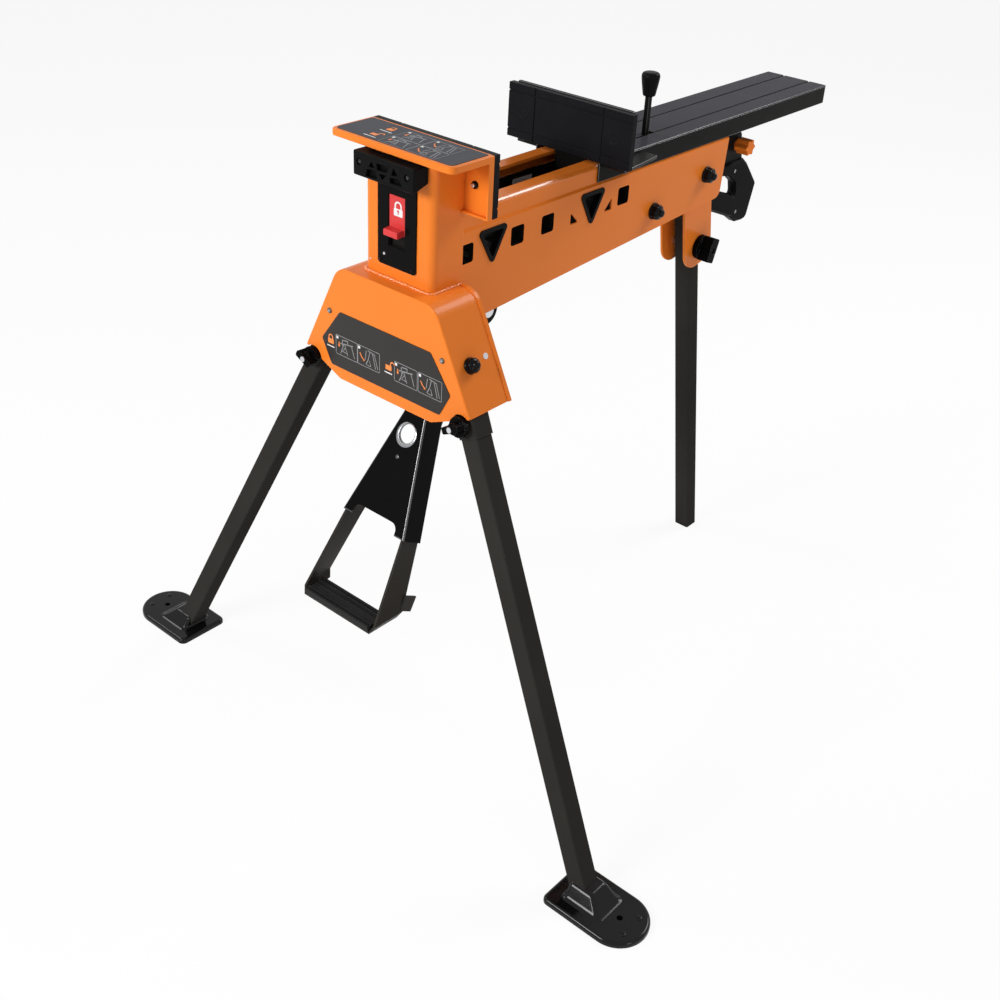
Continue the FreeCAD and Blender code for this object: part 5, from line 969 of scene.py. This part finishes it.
def socket(bm):
    """The flared socket, closed above and below."""
    low, high = socket_at(*SOCKET_LEVELS[0])
    corners = ((low.x, low.y), (high.x, low.y), (high.x, high.y), (low.x, high.y))
    points = [bm.verts.new((x, y, low.z)) for x, y in corners]
    bm.faces.new(points)
    before = set(bm.verts) - set(points)
    round_corners(bm, points, SOCKET_CORNER, segments=5)
    face = next(f for f in bm.faces if not any(v in before for v in f.verts))
    for step, (level, flare) in enumerate(SOCKET_LEVELS[1:]):
        new_low, new_high = socket_at(level, flare)
        grown = bmesh.ops.extrude_face_region(bm, geom=[face])["geom"]
        if step:  # only the lowest face stays, to close the socket from below
            bmesh.ops.delete(bm, geom=[face], context="FACES_ONLY")
        face = next(g for g in grown if isinstance(g, bmesh.types.BMFace))
        for v in face.verts:
            share = [(v.co[i] - low[i]) / (high[i] - low[i]) for i in (0, 1)]
            v.co = [new_low[i] + share[i] * (new_high[i] - new_low[i]) for i in (0, 1)] + [level]
        low, high = new_low, new_high


print("the socket grows over", len(SOCKET_LEVELS), "levels")

# %% [markdown]
# One foot is drawn on the left, and the right one is its mirror image. Two rivets show in front of the socket.

# %% Both feet
RIVET_X, RIVET_Y = 18.5, 523


def foot(node, side):
    """A whole foot; side is 1 on the left and -1 on the right."""
    bm = bmesh.new()
    shoe_plate(bm)
    bolt_hole(bm)
    socket(bm)
    for x in (-RIVET_X, RIVET_X):
        rivet = Matrix.Translation((FOOT_MID + x, RIVET_Y, FOOT_TOP))
        turned(bm, pan_head(radius=4.0, height=1.5), rivet, steps=20)
    there = Matrix.Translation((JAW_STEEL_X, 0, 0)) @ Matrix.Diagonal((1, side, 1, 1)) @ MM
    bmesh.ops.transform(bm, matrix=there, verts=bm.verts)
    piece = keep(bm, node + "_pressed", foot_coat, body_of[node], sharp=40, even=True)
    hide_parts(node)
    return piece


for node, side in (("left_foot", 1), ("right_foot", -1)):
    print(node, len(foot(node, side).data.polygons), "faces")

# %% [markdown]
# ## Weld bead
# The column is welded to the housing, and the paint follows the ripples of the bead. Each ripple is a small
# flattened ball; they overlap along the joint, with a little chance in their size, from a fixed seed.

# %% The bead round the column's foot
chance = random.Random(4)
BEAD, BEAD_Z = [(-6, -61.6), (-56, -61.6), (-61.4, -56), (-61.4, 56), (-56, 61.6), (-6, 61.6)], 768.5
RIPPLE_STEP, RIPPLE_SHIFT, RIPPLE_WIDE, RIPPLE_TALL = 2.6, 0.25, (2.4, 3.6), (2.0, 3.0)
bm = bmesh.new()
for (x0, y0), (x1, y1) in zip(BEAD, BEAD[1:]):
    count = max(2, round(math.dist((x0, y0), (x1, y1)) / RIPPLE_STEP))
    for i in range(count):
        share = (i + chance.uniform(-RIPPLE_SHIFT, RIPPLE_SHIFT)) / count
        ball = bmesh.ops.create_icosphere(bm, subdivisions=2, radius=1.0)["verts"]
        wide, tall = chance.uniform(*RIPPLE_WIDE), chance.uniform(*RIPPLE_TALL)
        bmesh.ops.scale(bm, verts=ball, vec=(wide * 0.001, wide * 0.001, tall * 0.001))
        bmesh.ops.translate(bm, verts=ball, vec=at(x0 + share * (x1 - x0), y0 + share * (y1 - y0), BEAD_Z))
bead = keep(bm, "weld_bead", gleam_coat, "frame", sharp=80)
print("weld bead:", len(bead.data.polygons), "faces")

# %% [markdown]
# ## Printed signs
# The panel on the housing and the sheet on the table carry small picture signs: padlocks, and frames with a
# little stand and an arrow. They could be an image. Thin raised shapes keep their edge at any distance: straight
# strokes and bows are drawn flat in a surface's frame, and one extrusion lifts them by a tenth of a millimetre.

# %% Strokes, bows and arrows
def stroke(bm, start, end, width):
    """A straight line with a width."""
    along = Vector(end) - Vector(start)
    across = Vector((-along.y, along.x)).normalized() * width / 2
    corners = ((start, -1), (end, -1), (end, 1), (start, 1))
    bm.faces.new([bm.verts.new((*(Vector(place) + side * across), 0)) for place, side in corners])


def bow(bm, middle, radius, start, sweep, width):
    """A part of a ring, from an angle and over a sweep."""
    turn = math.radians(start)
    ends = [bm.verts.new((middle[0] + r * math.cos(turn), middle[1] + r * math.sin(turn), 0))
            for r in (radius - width / 2, radius + width / 2)]
    edge = bm.edges.new(ends)
    bmesh.ops.spin(bm, geom=ends + [edge], cent=(*middle, 0), axis=(0, 0, 1), angle=math.radians(sweep), steps=10)


def arrow(bm, start, end, width, head_long=1.8, head_wide=1.3):
    """A stroke with a head, whose size is in widths of the stroke."""
    along = (Vector(end) - Vector(start)).normalized()
    across = Vector((-along.y, along.x)) * width * head_wide
    neck = Vector(end) - along * width * head_long
    stroke(bm, start, neck, width)
    bm.faces.new([bm.verts.new((*place, 0)) for place in (neck + across, neck - across, Vector(end))])


bm = bmesh.new()
arrow(bm, start=(0, 0), end=(8, 0), width=1.8)
print("an arrow is drawn with", len(bm.faces), "faces")
bm.free()

# %% [markdown]
# Patches are flat rectangles, and a frame is what an inset leaves of a patch when its middle is taken out. A
# padlock is a patch with a bow on it, drawn in shares of its size; an open one has its bow shifted aside.

# %% Patches, frames and padlocks
LOCK_HALF, LOCK_TALL, LOCK_CORNER = 0.36, 0.46, 0.05
BOW_MIDDLE, BOW_RADIUS, BOW_WIDTH, BOW_SHIFT = 0.62, 0.24, 0.11, 0.48


def patch(bm, low, high, radius=0.0):
    """A filled rectangle, with round corners where it has a radius."""
    corners = ((low[0], low[1]), (high[0], low[1]), (high[0], high[1]), (low[0], high[1]))
    points = [bm.verts.new((u, v, 0)) for u, v in corners]
    before = set(bm.verts) - set(points)
    bm.faces.new(points)
    if radius:
        round_corners(bm, points, radius, segments=4)
    return next(f for f in bm.faces if not any(v in before for v in f.verts))


def ring_frame(bm, low, high, width, radius):
    """The outline of a rectangle."""
    inner = patch(bm, low, high, radius)
    bmesh.ops.inset_individual(bm, faces=[inner], thickness=width, use_even_offset=True)
    bmesh.ops.delete(bm, geom=[inner], context="FACES")


def padlock(bm, u, v, size, shut=True):
    """A padlock whose body's lower edge has its middle at (u, v)."""
    patch(bm, (u - LOCK_HALF * size, v), (u + LOCK_HALF * size, v + LOCK_TALL * size), LOCK_CORNER * size)
    middle = (u if shut else u + BOW_SHIFT * size, v + BOW_MIDDLE * size)
    bow(bm, middle, BOW_RADIUS * size, 0, 180, BOW_WIDTH * size)
    for leg in ((1, -1) if shut else (-1,)):
        leg_u = middle[0] + leg * BOW_RADIUS * size
        stroke(bm, (leg_u, v + LOCK_TALL * size), (leg_u, middle[1]), BOW_WIDTH * size)


bm = bmesh.new()
padlock(bm, 0, 0, size=15)
print("a padlock is drawn with", len(bm.faces), "faces")
bm.free()

# %% [markdown]
# A drawing gets its thickness only when it is complete, and it is then set on its surface. A sign on a surface
# has up to three inks, and each ink is one piece.

# %% Drawings become prints
SAME_INK, INK_HEIGHT = 0.01, 0.12


def lift_print(bm, there, name, finish, height=INK_HEIGHT):
    """Gives a flat drawing its thickness and sets it on a surface."""
    bmesh.ops.remove_doubles(bm, verts=bm.verts, dist=SAME_INK)
    bmesh.ops.recalc_face_normals(bm, faces=bm.faces)
    grown = bmesh.ops.extrude_face_region(bm, geom=bm.faces[:])["geom"]
    bmesh.ops.translate(bm, verts=verts_in(grown), vec=(0, 0, height))
    bmesh.ops.transform(bm, matrix=there, verts=bm.verts)
    return keep(bm, name, finish, "frame")


def lift_signs(there, surface, lines, signs, marks):
    """Sets the three drawings of a surface on it and gives how many faces each has."""
    made = [lift_print(bm, there, surface + ending, finish) for bm, ending, finish in (
        (lines, "_lines", grey_print), (signs, "_signs", orange_print), (marks, "_marks", white_print))]
    return [len(piece.data.polygons) for piece in made]


print("a print stands", INK_HEIGHT, "mm high")

# %% [markdown]
# Two little pictures are used on both surfaces: the stand with its jaws and an arrow, and the pedal with a
# bent arrow. Each line is a start, an end and a width, in millimetres from the frame's lower left corner.

# %% The two pictures
STAND_LINES = [(9, 18, 34, 21.5, 1.5), (13.5, 15, 13, 25, 1.2), (24, 19, 23.6, 26, 1.2), (16, 18, 9.5, 3, 1.1),
               (18, 18, 23.5, 4, 1.1), (31, 21, 37, 4, 1.1), (14.5, 24.6, 23, 25.4, 1.3), (20, 16, 15, 9, 1.0),
               (12, 7.5, 22, 6.5, 0.9)]
PEDAL_LINES = [(17, 25, 15, 11, 1.1), (20, 26, 34, 24, 1.2), (24, 25, 21, 13, 1.1), (29, 25, 35, 3, 1.2),
               (33, 24, 39, 4, 1.0), (21, 13, 16.5, 4.5, 1.3), (23, 12, 26, 4, 1.0), (16.5, 4.5, 26, 3.5, 1.0)]
SQUARE_LOW, SQUARE_HIGH, SQUARE_CORNER = (1.4, 23.4), (5.2, 27.4), 0.3
PUSH_FROM, PUSH_TO, PUSH_WIDTH = (6.5, 19.5), (6.5, 11.5), 1.8
PRESS_FROM, PRESS_BEND, PRESS_TO, PRESS_WIDTH = (4.5, 18), (8.0, 12.5), (14.0, 8.0), 1.5


def picture(lines, signs, marks, u, v, pedal, scale=(1, 1)):
    """Draws one picture with its small square and its arrow."""
    def spot(a, b):
        return u + a * scale[0], v + b * scale[1]
    for u0, v0, u1, v1, width in (PEDAL_LINES if pedal else STAND_LINES):
        stroke(lines, spot(u0, v0), spot(u1, v1), width)
    patch(marks, spot(*SQUARE_LOW), spot(*SQUARE_HIGH), SQUARE_CORNER)
    if pedal:
        stroke(signs, spot(*PRESS_FROM), spot(*PRESS_BEND), PRESS_WIDTH)
        arrow(signs, spot(*PRESS_BEND), spot(*PRESS_TO), PRESS_WIDTH)
    else:
        arrow(signs, spot(*PUSH_FROM), spot(*PUSH_TO), PUSH_WIDTH)


print("lines in the pictures:", len(STAND_LINES), "and", len(PEDAL_LINES))

# %% [markdown]
# The housing's panel shows two pairs of pictures, one behind a shut padlock and one behind an open one.

# %% Signs on the housing's panel
PANEL = facing(at(-85, 0, 0), FRONT)
PANEL_PICTURES = ((-93.5, False), (-50.5, True), (20.0, False), (64.0, True))
FRAME_LOW, FRAME_HIGH, FRAME_WIDE = 639, 668.4, 43
PANEL_LOCKS, LOCK_LOW, LOCK_SIZE = ((-103.5, True), (9.2, False)), 650.5, 15.5
BAR_LEFT, BAR_RIGHT, BAR_LOW, BAR_HIGH = -7.4, 7.0, 645.4, 647.0
lines, signs, marks = bmesh.new(), bmesh.new(), bmesh.new()
for u, pedal_sign in PANEL_PICTURES:
    ring_frame(lines, (u, FRAME_LOW), (u + FRAME_WIDE, FRAME_HIGH), width=0.8, radius=2.0)
    picture(lines, signs, marks, u, FRAME_LOW, pedal_sign)
for u, shut in PANEL_LOCKS:
    padlock(signs, u, LOCK_LOW, LOCK_SIZE, shut)
    patch(marks, (u + BAR_LEFT, BAR_LOW), (u + BAR_RIGHT, BAR_HIGH))
print("signs on the panel:", lift_signs(PANEL, "panel", lines, signs, marks), "faces")

# %% [markdown]
# On the table's sheet the same pairs stand in two rows, a little wider and lower.

# %% Signs on the table's sheet
SHEET_THICK, SHEET_SCALE, SHEET_ROWS = 0.6, (1.08, 0.96), (-41.5, -70.0)
SHEET_PICTURES = ((-26.0, False), (23.5, True))
LEFT, BELOW, RIGHT, ABOVE = -1, -0.4, 47, 27.6  # a frame's edges, from its picture's corner
SHEET_LOCK_U, SHEET_LOCK_UP, SHEET_LOCK_SIZE = -47.5, 11.5, 15.0
SHEET_BAR_U, SHEET_BAR_UP = (-57, -36), (5.0, 6.5)
SHEET = facing(at(0, 0, TABLE_TOP + SHEET_THICK), UP, up=BACK)
lines, signs, marks = bmesh.new(), bmesh.new(), bmesh.new()
for row, v in enumerate(SHEET_ROWS):
    for u, pedal_sign in SHEET_PICTURES:
        picture(lines, signs, marks, u, v, pedal_sign, SHEET_SCALE)
        ring_frame(lines, (u + LEFT, v + BELOW), (u + RIGHT, v + ABOVE), width=0.5, radius=1.5)
    padlock(signs, SHEET_LOCK_U, v + SHEET_LOCK_UP, SHEET_LOCK_SIZE, shut=row == 0)
    patch(marks, (SHEET_BAR_U[0], v + SHEET_BAR_UP[0]), (SHEET_BAR_U[1], v + SHEET_BAR_UP[1]))
print("signs on the table:", lift_signs(SHEET, "table", lines, signs, marks), "faces")

# %% [markdown]
# The red slider has a white padlock with a keyhole, and both ride on the slider's own body.

# %% Slider sign
SLIDER, KEYHOLE = facing(at(-61.5, 0, 0), FRONT), facing(at(-61.6, 0, 0), FRONT)
SLIDER_U, SLIDER_LOCK_LOW, SLIDER_LOCK_SIZE = 2.0, 857.5, 21.5
KEY_LOW, KEY_HIGH, KEY_MIDDLE = (1.2, 860.0), (2.8, 863.6), 864.2
bm = bmesh.new()
padlock(bm, SLIDER_U, SLIDER_LOCK_LOW, SLIDER_LOCK_SIZE)
slider_sign = lift_print(bm, SLIDER, "slider_sign", white_print)
bm = bmesh.new()
patch(bm, KEY_LOW, KEY_HIGH)
bow(bm, (SLIDER_U, KEY_MIDDLE), radius=0.9, start=0, sweep=360, width=1.7)
keyhole = lift_print(bm, KEYHOLE, "slider_keyhole", red_plastic)
for piece in (slider_sign, keyhole):
    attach(piece, "lock")
print("slider sign:", len(slider_sign.data.polygons), len(keyhole.data.polygons), "faces")

# %% [markdown]
# A plain pale label with a few grey lines is stuck to the edge of the tray in the beam.

# %% Tray label
TRAY = facing(at(0, 45, 0), (0, -1, 0))
LABEL_LOW, LABEL_HIGH = (218, 818.5), (262, 831.5)
LINE_COUNT, LINE_LOW, LINE_STEP = 4, 821.5, 2.4
LINE_FROM, LINE_TO, LINE_MORE = 222, 240, 5
bm = bmesh.new()
patch(bm, LABEL_LOW, LABEL_HIGH, radius=1.0)
label = lift_print(bm, TRAY, "tray_label", white_print)
bm = bmesh.new()
for row in range(LINE_COUNT):
    line_v = LINE_LOW + LINE_STEP * row
    stroke(bm, (LINE_FROM, line_v), (LINE_TO + LINE_MORE * (row % 3), line_v), width=0.8)
label_lines = lift_print(bm, TRAY, "tray_label_lines", grey_print, height=0.2)
print("tray label:", len(label.data.polygons), len(label_lines.data.polygons), "faces")

# %% [markdown]
# ## Small trim
# A white plug closes a hole in the housing's wall, a stud and a rivet show on the column, and the jaw pads have
# faint round marks from their moulds.

# %% Plug, stud and mould marks
PLUG = [(0, -0.5), (4.2, -0.5), (4.2, 0.5), (3.6, 0.9), (2.0, 0.9), (1.6, 0.4), (0, 0.4)]
MOULD_MARK = [(0, -0.1), (9.2, -0.1), (9.2, 0.25), (8.6, 0.4), (8.0, 0.1), (2.4, 0.1), (2.0, 0.35), (0, 0.4)]
PAD_MARKS = (("sliding_pad_marks", "jaw", (280.0, 83, 909), -1), ("fixed_pad_marks", "frame", (10.3, 83, 909), 1))
PLUG_PLACE, STUD_PLACE, RIVET_PLACE = at(-24, -126.4, 693), at(-62.5, 22, 801), at(-60.1, 50, 785)
near_wall = Vector((0, -math.cos(LEG_SPLAY), math.sin(LEG_SPLAY)))
bm = bmesh.new()
turned(bm, PLUG, facing(PLUG_PLACE, near_wall), steps=24)
plug = keep(bm, "housing_plug", white_print, "frame")
bm = bmesh.new()
turned(bm, pan_head(radius=2.0, height=1.0), facing(STUD_PLACE, FRONT), steps=16)
turned(bm, pan_head(radius=1.5, height=0.6), facing(RIVET_PLACE, FRONT), steps=16)
stud = keep(bm, "column_stud", zinc, "frame")
for name, body, mark, way in PAD_MARKS:
    bm = bmesh.new()
    for side in (1, -1):
        turned(bm, MOULD_MARK, facing(on_side(mark, side), (way, 0, 0)), steps=32)
    keep(bm, name, jaw_black, body)
print("plug and stud:", len(plug.data.polygons), len(stud.data.polygons), "faces")

# %% [markdown]
# ## Studio
# The photograph has no surroundings: the stand is on white. A pale floor, one large face, keeps its soft shadow.
# It belongs to the stage and not to the stand.

# %% Floor
FLOOR_HALF = 12
bm = bmesh.new()
bmesh.ops.create_grid(bm, x_segments=1, y_segments=1, size=FLOOR_HALF)
mesh = bpy.data.meshes.new("studio_floor")
bm.to_mesh(mesh)
bm.free()
studio_floor = bpy.data.objects.new("studio_floor", mesh)
scene.collection.objects.link(studio_floor)
print("floor:", len(mesh.polygons), "face,", 2 * FLOOR_HALF, "m wide")

# %% [markdown]
# The floor is near white to the camera, to glossy surfaces and through clear ones. A brighter lamp would do that
# too, but it would bleach the stand. Light Path tells the rays that see the floor from the ones that only light
# the stand, so the white adds no light to it.

# %% The floor's finish
FLOOR_TONE, FLOOR_GLOW = (0.86, 0.86, 0.86, 1), 0.9


def seen_rays(tree):
    """1 for rays from the camera, off glossy surfaces and through clear ones, otherwise 0."""
    path = tree.nodes.new("ShaderNodeLightPath")
    seen = path.outputs["Is Camera Ray"]
    for ray in ("Is Glossy Ray", "Is Transmission Ray"):
        either = tree.nodes.new("ShaderNodeMath")
        either.operation = "MAXIMUM"
        tree.links.new(seen, either.inputs[0])
        tree.links.new(path.outputs[ray], either.inputs[1])
        seen = either.outputs[0]
    return seen


pale = bpy.data.materials.new("pale_floor")
pale.use_nodes = True
tree = pale.node_tree
tree.nodes.clear()
matt = tree.nodes.new("ShaderNodeBsdfDiffuse")
matt.inputs["Color"].default_value = FLOOR_TONE
glow = tree.nodes.new("ShaderNodeEmission")
glow.inputs["Strength"].default_value = 1.0
most = tree.nodes.new("ShaderNodeMath")
most.operation = "MULTIPLY"
most.inputs[1].default_value = FLOOR_GLOW
tree.links.new(seen_rays(tree), most.inputs[0])
blend = tree.nodes.new("ShaderNodeMixShader")
surface = tree.nodes.new("ShaderNodeOutputMaterial")
tree.links.new(most.outputs[0], blend.inputs[0])
tree.links.new(matt.outputs[0], blend.inputs[1])
tree.links.new(glow.outputs[0], blend.inputs[2])
tree.links.new(blend.outputs[0], surface.inputs["Surface"])
mesh.materials.append(pale)
print("the floor's finish has", len(tree.nodes), "nodes")

# %% [markdown]
# The light on the stand itself stays plain: a weak even world, a soft lamp in front, one above and behind, whose
# gleam runs along the folds, and weaker ones at both sides.

# %% World and lamps
WORLD_LIGHT, WORLD_SEEN = 0.32, 0.95
studio = bpy.data.worlds.new("studio")
studio.use_nodes = True
tree = studio.node_tree
backdrop = tree.nodes["Background"]
backdrop.inputs["Color"].default_value = (1, 1, 1, 1)
tree.links.new(spread(tree, seen_rays(tree), 0, 1, WORLD_LIGHT, WORLD_SEEN), backdrop.inputs["Strength"])
scene.world = studio


def lamp(name, place, target, size, power):
    """A round soft lamp at a place, turned to a target; metres and watts."""
    light = bpy.data.lights.new(name, "AREA")
    light.shape = "DISK"
    light.size = size
    light.energy = power
    holder = bpy.data.objects.new(name, light)
    holder.location = place
    holder.rotation_euler = (Vector(target) - Vector(place)).to_track_quat("-Z", "Y").to_euler()
    scene.collection.objects.link(holder)
    return holder


lamps = [lamp("front_lamp", (-3.2, 0.5, 1.9), (-0.3, 0, 0.6), size=1.2, power=77),
         lamp("side_lamp", (-1.2, -3.4, 1.0), (0, 0, 0.6), size=0.9, power=13),
         lamp("rear_lamp", (2.2, -0.85, 2.7), (0, 0, 0.7), size=1.6, power=60),
         lamp("left_lamp", (-1.2, 2.6, 2.6), (-0.2, 0, 0.6), size=1.0, power=22)]
print("lamps:", [(holder.name, holder.data.energy) for holder in lamps])

# %% [markdown]
# ## Camera
# The view was solved from the photograph's straight edges: where the camera stands, how it is turned, and how
# long its lens is. The picture's middle isn't quite on the lens axis, so the camera has a small shift.

# %% The photograph's camera
AZIMUTH, HEIGHT, ROLL = (math.radians(angle) for angle in (51.35, 31.33, 3.6145))
PICTURE, FOCAL, AXIS_X, AXIS_Y = 1000, 1297.54, 517.14, 473.66  # in the picture's pixels
CAMERA_PLACE, SENSOR, FAR = at(-1181.7, -1117.2, 1443.9), 36, 50
forward = Vector((math.sin(AZIMUTH) * math.cos(HEIGHT), math.cos(AZIMUTH) * math.cos(HEIGHT), -math.sin(HEIGHT)))
level = Vector((math.cos(AZIMUTH), -math.sin(AZIMUTH), 0))
upright = level.cross(forward)
right = level * math.cos(ROLL) + upright * math.sin(ROLL)
upward = upright * math.cos(ROLL) - level * math.sin(ROLL)
lens = bpy.data.cameras.new("photo_camera")
lens.sensor_width = SENSOR
lens.lens = SENSOR * FOCAL / PICTURE
lens.shift_x = (PICTURE / 2 - AXIS_X) / PICTURE
lens.shift_y = (AXIS_Y - PICTURE / 2) / PICTURE
lens.clip_end = FAR
camera = bpy.data.objects.new("photo_camera", lens)
camera.matrix_world = Matrix((right, upward, -forward)).transposed().to_4x4()
camera.location = CAMERA_PLACE
scene.collection.objects.link(camera)
scene.camera = camera
scene.view_settings.view_transform = "Standard"
print("camera at", [round(v, 3) for v in camera.location])
